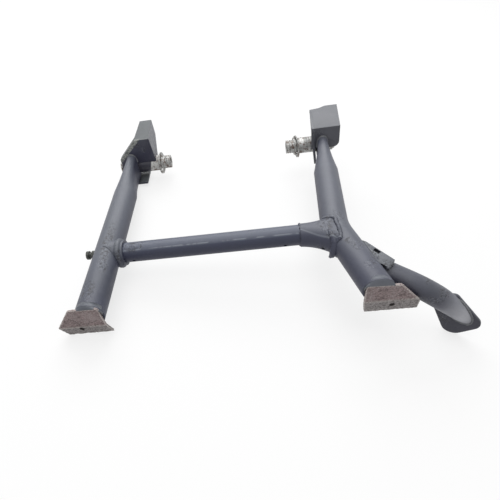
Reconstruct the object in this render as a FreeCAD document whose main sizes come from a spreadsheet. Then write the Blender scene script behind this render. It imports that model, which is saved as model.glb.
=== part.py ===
import FreeCAD
import Part
import Sketcher
import math
import os

# Centre stand of a motorcycle, lying on the floor as it was put down. The tubes, brackets and
# soles are set out in the frame of the stand itself: X along the pivot axis, Y from the soles
# to the pivots, Z square to the plane of the two legs. A last placement lays all of it on the floor.

Vector = FreeCAD.Vector
doc = FreeCAD.newDocument("centre_stand")

sizes = {
    # tube stock
    "leg_radius": 17.0,
    "leg_wall": 2.6,
    "bar_radius": 12.7,
    "bar_wall": 2.4,
    "boss_radius": 12.2,
    # legs
    "left_leg_x": -157.0,
    "right_foot_x": 157.5,
    "foot_y": -2.4,
    "right_bend_x": 131.5,
    "right_bend_y": 100.7,
    "right_top_x": 150.5,
    "bend_round": 95.0,
    "round_end_y": 226.0,
    "flat_start_y": 284.0,
    "leg_end_y": 312.0,
    "flat_half": 7.5,
    "flat_reach": 21.0,
    # cross tube and its flared branch
    "cross_y": 96.7,
    "branch_x": 88.0,
    "branch_overlap": 9.0,
    "branch_mid_x": 106.0,
    "branch_end_x": 132.0,
    "branch_start_y": 95.8,
    "branch_reach": 14.5,
    "branch_half": 14.2,
    "branch_mid_reach": 17.2,
    "branch_mid_half": 14.9,
    "branch_mid_y": 93.8,
    "branch_end_reach": 31.0,
    "branch_end_half": 17.0,
    "branch_end_y": 88.4,
    "collar_radius": 17.6,
    "collar_end_radius": 16.2,
    "collar_length": 7.0,
    "vent_radius": 2.2,
    "left_vent_x": -122.0,
    "right_vent_x": 69.0,
    "branch_vent_x": 113.0,
    # lever
    "lever_root_x": 160.0,
    "lever_root_y": 38.0,
    "lever_root_z": -4.0,
    "lever_bend_x": 208.0,
    "lever_bend_y": 10.0,
    "lever_bend_z": -17.0,
    "lever_end_x": 272.7,
    "lever_end_y": 6.0,
    "lever_end_z": -71.0,
    "lever_round": 50.0,
    "pad_x": 257.2,
    "pad_y": -0.5,
    "pad_z": -58.0,
    "pad_turn": 28.1,
    "pad_lean": 2.9,
    "pad_spin": 45.0,
    "pad_plate": 4.0,
    "pad_right": 10.4,
    "pad_heel": 25.4,
    "pad_front": 29.5,
    "pad_left_front": 19.0,
    "pad_left_heel": 36.0,
    "pad_heel_round": 11.0,
    "pad_corner": 6.0,
    "pad_toe_round": 13.0,
    # gusset
    "gusset_top": 9.0,
    "gusset_plate": 4.0,
    "gusset_peak_x": 131.0,
    "gusset_peak_y": 103.0,
    "gusset_brow_x": 145.5,
    "gusset_brow_y": 99.0,
    "gusset_waist_x": 153.0,
    "gusset_waist_y": 68.0,
    "gusset_hip_x": 159.0,
    "gusset_hip_y": 63.5,
    "gusset_outer_x": 181.5,
    "gusset_outer_y": 30.5,
    "gusset_toe_x": 172.0,
    "gusset_toe_y": 20.0,
    "gusset_root_x": 142.0,
    "gusset_root_y": 55.0,
    "gusset_slot_x": 167.0,
    "gusset_slot_y": 42.0,
    "gusset_slot_long": 8.0,
    "gusset_slot_wide": 4.5,
    "gusset_slot_turn": 34.0,
    # soles: how far each corner stands inboard or outboard of the leg's centre line
    "sole_plate": 3.2,
    "sole_lip_length": 16.6,
    "sole_lip_angle": 9.0,
    "left_sole_in": 14.2,
    "left_sole_top_z": 13.6,
    "left_sole_fall": 0.2,
    "left_sole_crease_z": -15.0,
    "left_sole_top_out": 20.3,
    "left_sole_crease_out": 42.4,
    "left_lip_in": 17.8,
    "left_lip_out": 36.0,
    "left_hole_out": 16.0,
    "right_sole_in": 14.7,
    "right_sole_top_z": 10.4,
    "right_sole_fall": 2.0,
    "right_sole_crease_z": -18.8,
    "right_sole_top_out": 21.5,
    "right_sole_crease_out": 44.4,
    "right_lip_in": 12.2,
    "right_lip_out": 44.8,
    "right_hole_out": 15.9,
    "sole_hole_radius": 2.6,
    "sole_hole_drop": 4.6,
    "sole_corner": 4.0,
    # pivots
    "pivot_y": 318.0,
    "pivot_z": -3.6,
    "left_sleeve_end_x": 96.3,
    "right_sleeve_end_x": 94.4,
    "sleeve_radius": 10.2,
    "sleeve_bore": 6.25,
    "sleeve_fit": 0.05,
    "left_boss_in": 115.5,
    "left_boss_out": 176.5,
    "right_boss_in": 114.0,
    "right_boss_out": 167.5,
    "sleeve_out": 3.0,
    "groove_depth": 0.7,
    "groove_width": 1.2,
    "groove_step": 2.9,
    "washer_radius": 17.2,
    "washer_hole": 11.6,
    "washer_plate": 1.8,
    "washer_slack": 0.3,
    "left_washer_skew": 4.5,
    "right_washer_skew": 8.0,
    "left_washer_x": 112.2,
    "right_washer_x": 111.0,
    "ring_radius": 13.6,
    "ring_plate": 1.5,
    "ring_gap": 3.8,
    "ring_skew": 3.0,
    # brackets
    "plate": 3.5,
    "left_web_z": 44.5,
    "left_front_y": 309.0,
    "left_inner_x": 121.0,
    "left_inner_back_x": 125.2,
    "left_flank_splay": 3.2,
    "left_fold_x": 145.3,
    "left_depth": 68.2,
    "left_outer_x": 176.0,
    "left_shoulder_z": 14.5,
    "left_flank_low_z": -2.0,
    "left_flank_step": 5.0,
    "left_flank_mid_z": 22.0,
    "left_flank_knee": 25.0,
    "left_flank_knee_z": 2.0,
    "left_slope_depth": 12.0,
    "lip_bite": 0.5,
    "lip_x": 137.5,
    "lip_front": 18.0,
    "lip_back": 17.0,
    "right_web_z": 35.2,
    "right_front_y": 293.0,
    "right_inner_x": 131.5,
    "right_outer_x": 174.0,
    "right_back_inner_x": 137.5,
    "right_back_outer_x": 182.5,
    "right_depth": 64.5,
    "right_step_x": 163.0,
    "right_step": 8.5,
    "right_wall_low_z": 1.5,
    "right_wall_round": 9.0,
    "right_lug_low_z": -22.0,
    "right_lug_depth": 45.0,
    "right_lug_lean": 4.5,
    "right_cheek_low_z": 3.5,
    # spring peg
    "peg_y": 98.5,
    "peg_radius": 5.5,
    "peg_neck": 3.8,
    "peg_length": 11.0,
    "peg_groove": 4.0,
    "peg_head": 3.5,
    # how the stand lies on the floor
    "lie_roll": 7.8,
    "lie_pitch": 1.77,
}

dims = doc.addObject("Spreadsheet::Sheet", "dims")
for row, (name, value) in enumerate(sizes.items(), start=1):
    dims.set("A%d" % row, name)
    dims.set("B%d" % row, str(value))
    dims.setAlias("B%d" % row, name)
doc.recompute()


def measure(*terms):
    """A length added up from named sizes: its value, and the text that binds it to them."""
    value = 0.0
    text = ""
    for term in terms:
        minus = term.startswith("-")
        factor, star, name = term.lstrip("-").rpartition("*")
        scale = float(factor) if factor else 1.0
        value += (-scale if minus else scale) * sizes[name]
        bound = "dims." + name if not factor else factor + " * dims." + name
        text += (" - " if minus else (" + " if text else "")) + bound
    return value, text.strip()


def origin_plane(body, role):
    return next(f for f in body.Origin.OriginFeatures if f.Role == role)


def new_body(name, place=None):
    body = doc.addObject("PartDesign::Body", name)
    body.Label = name
    if place is not None:
        body.Placement = place
    return body


def profile(body, name, role, points, arcs=None, shift=None, turn=None):
    """A closed sketch on an origin plane. Its corners are named lengths, its arcs have named radii."""
    sketch = body.newObject("Sketcher::SketchObject", name)
    sketch.AttachmentSupport = [(origin_plane(body, role), "")]
    sketch.MapMode = "FlatFace"
    if shift is not None or turn is not None:
        sketch.AttachmentOffset = FreeCAD.Placement(shift or Vector(), turn or FreeCAD.Rotation())
    arcs = arcs or {}
    count = len(points)
    flat = [Vector(measure(*p[0])[0], measure(*p[1])[0], 0) for p in points]
    for i in range(count):
        a, b = flat[i], flat[(i + 1) % count]
        if i in arcs:
            radius = measure(*arcs[i])[0]
            half = (b - a) * 0.5
            rise = math.sqrt(max(radius ** 2 - half.Length ** 2, 0.0))
            inward = Vector(-half.y, half.x, 0).normalize()
            centre = a + half + inward * rise
            tip = centre - inward * radius
            sketch.addGeometry(Part.Arc(a, tip, b), False)
        else:
            sketch.addGeometry(Part.LineSegment(a, b), False)
    ends = []
    for i in range(count):
        turned = i in arcs and sketch.Geometry[i].StartPoint.distanceToPoint(flat[i]) > 1e-6
        ends.append((2, 1) if turned else (1, 2))
    for i in range(count):
        after = (i + 1) % count
        sketch.addConstraint(Sketcher.Constraint("Coincident", i, ends[i][1], after, ends[after][0]))
    for i, (across, along) in enumerate(points):
        for kind, terms in (("DistanceX", across), ("DistanceY", along)):
            value, text = measure(*terms)
            index = sketch.addConstraint(Sketcher.Constraint(kind, -1, 1, i, ends[i][0], value))
            sketch.setExpression("Constraints[%d]" % index, text)
    for i, terms in arcs.items():
        value, text = measure(*terms)
        chord = flat[(i + 1) % count] - flat[i]
        if chord.Length > 1.999 * value:
            level = "Horizontal" if abs(chord.x) > abs(chord.y) else "Vertical"
            sketch.addConstraint(Sketcher.Constraint(level, i, 3, i, 1))
            continue
        index = sketch.addConstraint(Sketcher.Constraint("Radius", i, value))
        sketch.setExpression("Constraints[%d]" % index, text)
    return sketch


def circle(body, name, role, across, along, radius, shift=None, turn=None):
    sketch = body.newObject("Sketcher::SketchObject", name)
    sketch.AttachmentSupport = [(origin_plane(body, role), "")]
    sketch.MapMode = "FlatFace"
    if shift is not None or turn is not None:
        sketch.AttachmentOffset = FreeCAD.Placement(shift or Vector(), turn or FreeCAD.Rotation())
    centre = Vector(measure(*across)[0] if across else 0.0, measure(*along)[0] if along else 0.0, 0)
    sketch.addGeometry(Part.Circle(centre, Vector(0, 0, 1), measure(*radius)[0]), False)
    for kind, terms in (("DistanceX", across), ("DistanceY", along)):
        if terms:
            value, text = measure(*terms)
            index = sketch.addConstraint(Sketcher.Constraint(kind, -1, 1, 0, 3, value))
            sketch.setExpression("Constraints[%d]" % index, text)
        else:
            axis = -2 if kind == "DistanceX" else -1
            sketch.addConstraint(Sketcher.Constraint("PointOnObject", 0, 3, axis))
    value, text = measure(*radius)
    index = sketch.addConstraint(Sketcher.Constraint("Radius", 0, value))
    sketch.setExpression("Constraints[%d]" % index, text)
    return sketch


def pad(body, name, sketch, length, reverse=False, kind="PartDesign::Pad"):
    feature = body.newObject(kind, name)
    feature.Profile = sketch
    value, text = measure(*length)
    feature.Length = value
    feature.setExpression("Length", text)
    feature.Reversed = reverse
    body.Tip = feature
    return feature


def loft(body, name, sections, kind="PartDesign::AdditiveLoft", ruled=False):
    feature = body.newObject(kind, name)
    feature.Profile = sections[0]
    feature.Sections = sections[1:]
    feature.Ruled = ruled
    body.Tip = feature
    return feature


def rod(name, start, along, length, radius):
    """A plain round bar from a point along a direction, with its length and radius bound."""
    bar = doc.addObject("Part::Cylinder", name)
    for field, terms in (("Radius", radius), ("Height", length)):
        value, text = measure(*terms)
        setattr(bar, field, value)
        bar.setExpression(field, text)
    bar.Placement = FreeCAD.Placement(start, FreeCAD.Rotation(Vector(0, 0, 1), along))
    return bar


def block(name, corner, size):
    item = doc.addObject("Part::Box", name)
    item.Length, item.Width, item.Height = size
    item.Placement = FreeCAD.Placement(corner, FreeCAD.Rotation())
    return item


def cut(base, tool, name):
    item = doc.addObject("Part::Cut", name)
    item.Base = base
    item.Tool = tool
    return item


def join(parts, name):
    item = doc.addObject("Part::MultiFuse", name)
    item.Shapes = parts
    return item


def edges_at(shape, spots, reach=0.6):
    """Names of the edges whose middle is near one of the given spots."""
    names = []
    for number, edge in enumerate(shape.Edges, start=1):
        middle = edge.valueAt((edge.FirstParameter + edge.LastParameter) / 2)
        if any(middle.distanceToPoint(spot) < reach for spot in spots):
            names.append("Edge%d" % number)
    return names


def round_edges(body, name, spots, radius, reach=0.6):
    doc.recompute()
    found = edges_at(body.Tip.Shape, spots, reach)
    if len(found) != len(spots):
        raise RuntimeError("%s: %d corners found of %d" % (name, len(found), len(spots)))
    feature = body.newObject("PartDesign::Fillet", name)
    feature.Base = (body.Tip if body.Tip.Name != feature.Name else feature.BaseFeature, found)
    value, text = measure(*radius)
    feature.Radius = value
    feature.setExpression("Radius", text)
    body.Tip = feature
    return feature


nodes = []
pitched = FreeCAD.Rotation(Vector(1, 0, 0), -sizes["lie_pitch"])
rolled = FreeCAD.Rotation(Vector(0, 1, 0), -sizes["lie_roll"])
lie = FreeCAD.Placement(Vector(), pitched * rolled)


def node(item, label):
    """Names a finished piece and lays it on the floor with the rest."""
    item.Label = label
    item.Placement = lie.multiply(item.Placement)
    nodes.append(item)
    return item


diagonal = "0.70710678*"

# Legs: round tube whose upper end is pressed flat where it enters the bracket.


def leg_section(body, name, y, inset, flat):
    """One section across a leg: round, or pressed to a tall narrow slot shape."""
    shrink = ("-leg_wall",) if inset else ()
    scaled = ("-" + diagonal + "leg_wall",) if inset else ()
    if flat:
        right = ("flat_half",) + shrink
        left = ("-flat_half",) + (("leg_wall",) if inset else ())
        high = ("flat_reach", "-flat_half")
        low = ("flat_half", "-flat_reach")
        points = [(right, low), (right, high), (left, high), (left, low)]
        arcs = {1: ("flat_half",) + shrink, 3: ("flat_half",) + shrink}
    else:
        plus = (diagonal + "leg_radius",) + scaled
        minus = ("-" + diagonal + "leg_radius",) + ((diagonal + "leg_wall",) if inset else ())
        points = [(plus, minus), (plus, plus), (minus, plus), (minus, minus)]
        whole = ("leg_radius",) + shrink
        arcs = {0: whole, 1: whole, 2: whole, 3: whole}
    return profile(body, name, "XZ_Plane", points, arcs, shift=Vector(0, 0, -y))


def pressed_end(body, round_end, flat_start, end):
    """Adds the pressed upper end, hollow, from the round tube to the open end."""
    for inset, kind in ((False, "PartDesign::AdditiveLoft"), (True, "PartDesign::SubtractiveLoft")):
        tag = "bore" if inset else "skin"
        stations = [
            leg_section(body, "%s_round" % tag, round_end - (0.5 if inset else 0.0), inset, False),
            leg_section(body, "%s_flat" % tag, flat_start, inset, True),
            leg_section(body, "%s_end" % tag, end + (0.5 if inset else 0.0), inset, True),
        ]
        loft(body, "pressed_%s" % tag, stations, kind, ruled=True)


left_place = FreeCAD.Placement(Vector(sizes["left_leg_x"], 0, 0), FreeCAD.Rotation())
left_tube = new_body("left_tube_blank", left_place)
foot = Vector(0, 0, -sizes["foot_y"])
tube_run = ("round_end_y", "-foot_y")
tube_skin = circle(left_tube, "left_skin", "XZ_Plane", None, None, ("leg_radius",), shift=foot)
pad(left_tube, "left_round", tube_skin, tube_run, reverse=True)
tube_bore = circle(left_tube, "left_bore", "XZ_Plane", None, None, ("leg_radius", "-leg_wall"), shift=foot)
pad(left_tube, "left_hollow", tube_bore, tube_run, kind="PartDesign::Pocket")
pressed_end(left_tube, sizes["round_end_y"], sizes["flat_start_y"], sizes["leg_end_y"])

# The right leg kinks outward below the cross tube, so it is bent round an arc before it is pressed.
up_x = sizes["right_top_x"] - sizes["right_bend_x"]
up_y = sizes["pivot_y"] - sizes["right_bend_y"]
lean = math.degrees(math.atan2(up_x, up_y))
down_x = sizes["right_foot_x"] - sizes["right_bend_x"]
down_y = sizes["right_bend_y"] - sizes["foot_y"]
kink = math.degrees(math.atan2(down_x, down_y)) + lean
lower_length = math.hypot(down_x, down_y) + sizes["leg_radius"]
bend_place = FreeCAD.Placement(
    Vector(sizes["right_bend_x"], sizes["right_bend_y"], 0), FreeCAD.Rotation(Vector(0, 0, 1), -lean)
)
to_upper = math.cos(math.radians(lean))
upper_start = (sizes["round_end_y"] - sizes["right_bend_y"]) / to_upper
upper_flat = (sizes["flat_start_y"] - sizes["right_bend_y"]) / to_upper
upper_end = (sizes["leg_end_y"] - sizes["right_bend_y"]) / to_upper
right_tube = new_body("right_tube_blank", bend_place)
route = right_tube.newObject("Sketcher::SketchObject", "right_route")
route.AttachmentSupport = [(origin_plane(right_tube, "XY_Plane"), "")]
route.MapMode = "FlatFace"
setback = sizes["bend_round"] * math.tan(math.radians(kink) / 2)
slope = Vector(math.sin(math.radians(kink)), -math.cos(math.radians(kink)), 0)
bend_top = Vector(0, setback, 0)
bend_low = slope * setback
hub = Vector(sizes["bend_round"], setback, 0)
bend_mid = hub + (Vector(0, 0, 0) - hub).normalize() * sizes["bend_round"]
route.addGeometry(Part.Arc(bend_top, bend_mid, bend_low), False)
route.addGeometry(Part.LineSegment(bend_low, slope * lower_length), False)
bound = route.addConstraint(Sketcher.Constraint("Radius", 0, sizes["bend_round"]))
route.setExpression("Constraints[%d]" % bound, "dims.bend_round")
straight = upper_start - setback
for name, radius, pad_kind, pipe_kind in (
    ("right_skin", ("leg_radius",), "PartDesign::Pad", "PartDesign::AdditivePipe"),
    ("right_bore", ("leg_radius", "-leg_wall"), "PartDesign::Pocket", "PartDesign::SubtractivePipe"),
):
    at_bend = Vector(0, 0, -setback)
    ring = circle(right_tube, name, "XZ_Plane", None, None, radius, shift=at_bend)
    run = right_tube.newObject(pad_kind, name + "_run")
    run.Profile = ring
    run.Length = straight
    run.Reversed = pad_kind == "PartDesign::Pad"
    right_tube.Tip = run
    bend_ring = circle(right_tube, name + "_bend", "XZ_Plane", None, None, radius, shift=at_bend)
    pipe = right_tube.newObject(pipe_kind, name + "_pipe")
    pipe.Profile = bend_ring
    pipe.Spine = (route, ["Edge1", "Edge2"])
    right_tube.Tip = pipe
pressed_end(right_tube, upper_start, upper_flat, upper_end)
doc.recompute()

# Solid copies of the legs' outer surfaces, which cope the pieces welded to them.
along_y = Vector(0, 1, 0)
along_x = Vector(1, 0, 0)
left_foot = Vector(sizes["left_leg_x"], sizes["foot_y"], 0)
left_core = rod("left_core", left_foot, along_y, tube_run, ("leg_radius",))
upper_point = Vector(0, upper_start, 0)
stops = [bend_place.multVec(p) for p in (upper_point, bend_top, bend_mid, bend_low, slope * lower_length)]
core_wire = Part.Wire([
    Part.LineSegment(stops[0], stops[1]).toShape(),
    Part.Arc(stops[1], stops[2], stops[3]).toShape(),
    Part.LineSegment(stops[3], stops[4]).toShape(),
])
core_face = Part.Wire([Part.Circle(stops[0], stops[1] - stops[0], sizes["leg_radius"]).toShape()])
right_core = doc.addObject("Part::Feature", "right_core")
right_core.Shape = core_wire.makePipeShell([core_face], True, False)

# Pivot bosses: short tubes through the brackets, in which the sleeves turn.
pivot = Vector(0, sizes["pivot_y"], sizes["pivot_z"])


def boss_span(side):
    inner, outer = sizes[side + "_boss_in"], sizes[side + "_boss_out"]
    return (-outer, outer - inner) if side == "left" else (inner, outer - inner)


bosses = {}
for side in ("left", "right"):
    start_x, long = boss_span(side)
    span = (side + "_boss_out", "-" + side + "_boss_in")
    start = pivot + Vector(start_x, 0, 0)
    skin = rod(side + "_boss_skin", start, along_x, span, ("boss_radius",))
    bore = rod(side + "_boss_bore", start, along_x, span, ("sleeve_radius", "sleeve_fit"))
    bosses[side] = skin
    node(cut(skin, bore, side + "_boss_cut"), side + "_pivot_boss")

spare = 3 * sizes["leg_radius"]
foot_corner = Vector(sizes["right_foot_x"] - spare, sizes["foot_y"] - spare, -spare)
foot_level = block("foot_level", foot_corner, (2 * spare, spare, 2 * spare))
left_cope = cut(left_tube, bosses["left"], "left_leg_cope")
right_trim = cut(right_tube, foot_level, "right_leg_trim")
right_cope = cut(right_trim, bosses["right"], "right_leg_cope")
node(left_cope, "left_leg_tube")
node(right_cope, "right_leg_tube")

# Cross tube: welded to the left leg, its right end slipped into the flared branch.
cross_start = Vector(sizes["left_leg_x"], sizes["cross_y"], 0)
cross_length = ("branch_x", "branch_overlap", "-left_leg_x")
cross_skin = rod("cross_skin", cross_start, along_x, cross_length, ("bar_radius",))
cross_bore = rod("cross_bore", cross_start, along_x, cross_length, ("bar_radius", "-bar_wall"))
cross_hollow = cut(cross_skin, cross_bore, "cross_hollow")
cross_fit = cut(cross_hollow, left_core, "cross_fit")
vent_way = Vector(0, -0.92, -0.39)
vents = []
for spot in ("left_vent_x", "right_vent_x"):
    vent_start = Vector(sizes[spot], sizes["cross_y"], 0)
    vents.append(rod(spot, vent_start, vent_way, ("bar_radius", "bar_wall"), ("vent_radius",)))
cross_vents = join(vents, "cross_vents")
node(cut(cross_fit, cross_vents, "cross_vented"), "cross_tube")

# Weld collar between cross tube and left leg.
collar = doc.addObject("Part::Cone", "collar_blank")
collar.Radius1 = sizes["collar_radius"]
collar.Radius2 = sizes["collar_end_radius"]
collar.Height = sizes["leg_radius"] + sizes["collar_length"]
collar.setExpression("Radius1", "dims.collar_radius")
collar.setExpression("Radius2", "dims.collar_end_radius")
collar.setExpression("Height", "dims.leg_radius + dims.collar_length")
collar.Placement = FreeCAD.Placement(cross_start, FreeCAD.Rotation(Vector(0, 0, 1), along_x))
collar_trim = cut(collar, left_core, "collar_trim")
node(cut(collar_trim, cross_skin, "collar_cut"), "left_joint_weld")

# Flared branch: a formed socket that opens out like a trumpet and saddles the right leg.
branch = new_body("branch_blank")


def branch_section(name, x, reach, half, y, inset):
    """A slot shape across the branch, long along Y, at one place along X."""
    wall = ("-bar_wall",) if inset else ()
    back = ("bar_wall",) if inset else ()
    far = (y, reach, "-" + half)
    near = (y, half, "-" + reach)
    top = (half,) + wall
    bottom = ("-" + half,) + back
    points = [(near, bottom), (far, bottom), (far, top), (near, top)]
    arcs = {1: (half,) + wall, 3: (half,) + wall}
    return profile(branch, name, "YZ_Plane", points, arcs, shift=Vector(0, 0, x))


branch_stations = (
    ("branch_x", "branch_reach", "branch_half", "branch_start_y"),
    ("branch_mid_x", "branch_mid_reach", "branch_mid_half", "branch_mid_y"),
    ("branch_end_x", "branch_end_reach", "branch_end_half", "branch_end_y"),
)
for inset, kind in ((False, "PartDesign::AdditiveLoft"), (True, "PartDesign::SubtractiveLoft")):
    tag = "bore" if inset else "skin"
    stations = []
    for number, (x, reach, half, y) in enumerate(branch_stations):
        where = sizes[x] + ((0.5 if number == 2 else -0.5 if number == 0 else 0.0) if inset else 0.0)
        stations.append(branch_section("branch_%s_%d" % (tag, number), where, reach, half, y, inset))
    loft(branch, "branch_" + tag, stations, kind)
doc.recompute()
branch_fit = cut(branch, right_core, "branch_fit")
branch_vent = rod("branch_vent", Vector(sizes["branch_vent_x"], sizes["branch_end_y"], 0), vent_way,
                  ("branch_end_reach", "bar_wall"), ("vent_radius",))
branch_open = cut(branch_fit, branch_vent, "branch_open")
node(cut(branch_open, cross_skin, "branch_cut"), "cross_tube_branch")

# Lever: a bent tube from the right leg out and down to the foot pad.
root = Vector(sizes["lever_root_x"], sizes["lever_root_y"], sizes["lever_root_z"])
elbow = Vector(sizes["lever_bend_x"], sizes["lever_bend_y"], sizes["lever_bend_z"])
tip = Vector(sizes["lever_end_x"], sizes["lever_end_y"], sizes["lever_end_z"])
first = (elbow - root).normalize()
second = (tip - elbow).normalize()
upright = first.cross(second).normalize()
lever_turn = first.getAngle(second)
lever_place = FreeCAD.Placement(elbow, FreeCAD.Rotation(first, upright.cross(first), upright, "XYZ"))
lever = new_body("lever_blank", lever_place)
lever_route = lever.newObject("Sketcher::SketchObject", "lever_route")
lever_route.AttachmentSupport = [(origin_plane(lever, "XY_Plane"), "")]
lever_route.MapMode = "FlatFace"
cutback = sizes["lever_round"] * math.tan(lever_turn / 2)
turned = Vector(math.cos(lever_turn), math.sin(lever_turn), 0)
lever_in = Vector(-(elbow - root).Length, 0, 0)
turn_in = Vector(-cutback, 0, 0)
turn_out = turned * cutback
turn_hub = Vector(-cutback, sizes["lever_round"], 0)
turn_mid = turn_hub + (Vector(0, 0, 0) - turn_hub).normalize() * sizes["lever_round"]
lever_out = turned * (tip - elbow).Length
lever_route.addGeometry(Part.LineSegment(lever_in, turn_in), False)
lever_route.addGeometry(Part.Arc(turn_in, turn_mid, turn_out), False)
lever_route.addGeometry(Part.LineSegment(turn_out, lever_out), False)
bound = lever_route.addConstraint(Sketcher.Constraint("Radius", 1, sizes["lever_round"]))
lever_route.setExpression("Constraints[%d]" % bound, "dims.lever_round")
for name, radius, kind in (
    ("lever_skin", ("bar_radius",), "PartDesign::AdditivePipe"),
    ("lever_bore", ("bar_radius", "-bar_wall"), "PartDesign::SubtractivePipe"),
):
    ring = circle(lever, name, "YZ_Plane", None, None, radius, shift=Vector(0, 0, lever_in.x))
    pipe = lever.newObject(kind, name + "_pipe")
    pipe.Profile = ring
    pipe.Spine = (lever_route, ["Edge1", "Edge2", "Edge3"])
    lever.Tip = pipe
doc.recompute()
marks = [lever_place.multVec(p) for p in (lever_in, turn_in, turn_mid, turn_out, lever_out)]
lever_core_wire = Part.Wire([
    Part.LineSegment(marks[0], marks[1]).toShape(),
    Part.Arc(marks[1], marks[2], marks[3]).toShape(),
    Part.LineSegment(marks[3], marks[4]).toShape(),
])
lever_core = doc.addObject("Part::Feature", "lever_core")
lever_ring = Part.Wire([Part.Circle(root, first, sizes["bar_radius"]).toShape()])
lever_core.Shape = lever_core_wire.makePipeShell([lever_ring], True, False)

pad_way = FreeCAD.Rotation(Vector(0, 0, 1), -sizes["pad_turn"])
pad_way = pad_way * FreeCAD.Rotation(Vector(1, 0, 0), 90 - sizes["pad_lean"])
pad_way = pad_way * FreeCAD.Rotation(Vector(0, 0, 1), sizes["pad_spin"])
pad_place = FreeCAD.Placement(Vector(sizes["pad_x"], sizes["pad_y"], sizes["pad_z"]), pad_way)
pad_body = new_body("lever_pad_blank", pad_place)
pad_points = [(("pad_right",), ("-pad_heel",)), (("pad_right",), ("pad_front",)),
              (("-pad_left_front",), ("pad_front",)), (("-pad_left_heel",), ("-pad_heel",))]
pad_sketch = profile(pad_body, "pad_outline", "XY_Plane", pad_points)
pad(pad_body, "pad_plate_pad", pad_sketch, ("pad_plate",), reverse=True)
pad_edges = [Vector(measure(*x)[0], measure(*y)[0], -sizes["pad_plate"] / 2) for x, y in pad_points]
round_edges(pad_body, "pad_heel_corner", pad_edges[:1], ("pad_heel_round",))
round_edges(pad_body, "pad_corners", pad_edges[1:3], ("pad_corner",))
round_edges(pad_body, "pad_toe_corner", pad_edges[3:], ("pad_toe_round",))
doc.recompute()
pad_reach = 5 * sizes["bar_radius"]
pad_corner = Vector(-pad_reach, -pad_reach, -pad_reach)
pad_tool = block("pad_tool", pad_corner, (2 * pad_reach, 2 * pad_reach, pad_reach))
pad_tool.Placement = pad_place.multiply(pad_tool.Placement)
lever_fit = cut(lever, right_core, "lever_fit")
node(cut(lever_fit, pad_tool, "lever_mitre"), "lever_tube")
node(pad_body, "lever_foot_pad")

# Gusset: a flat plate that ties the lever's root to the right leg, with one slot through it.
gusset_level = Vector(0, 0, sizes["gusset_top"] - sizes["gusset_plate"])
gusset = new_body("gusset_blank", FreeCAD.Placement(gusset_level, FreeCAD.Rotation()))
gusset_corners = ("peak", "brow", "waist", "hip", "outer", "toe", "root")
gusset_points = [(("gusset_%s_x" % spot,), ("gusset_%s_y" % spot,)) for spot in gusset_corners]
gusset_sketch = profile(gusset, "gusset_outline", "XY_Plane", gusset_points)
pad(gusset, "gusset_pad", gusset_sketch, ("gusset_plate",))
doc.recompute()
slot = doc.addObject("Part::Box", "gusset_slot")
for field, name in (("Length", "gusset_slot_wide"), ("Width", "gusset_slot_long")):
    setattr(slot, field, sizes[name])
    slot.setExpression(field, "dims." + name)
slot.Height = 3 * sizes["gusset_plate"]
slot.setExpression("Height", "3 * dims.gusset_plate")
slot_low = sizes["gusset_top"] - 2 * sizes["gusset_plate"]
slot_corner = Vector(sizes["gusset_slot_x"], sizes["gusset_slot_y"], slot_low)
slot.Placement = FreeCAD.Placement(slot_corner, FreeCAD.Rotation(Vector(0, 0, 1), sizes["gusset_slot_turn"]))
gusset_off_leg = cut(gusset, right_core, "gusset_off_leg")
gusset_off_lever = cut(gusset_off_leg, lever_core, "gusset_off_lever")
node(cut(gusset_off_lever, slot, "gusset_slotted"), "lever_gusset")

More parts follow.
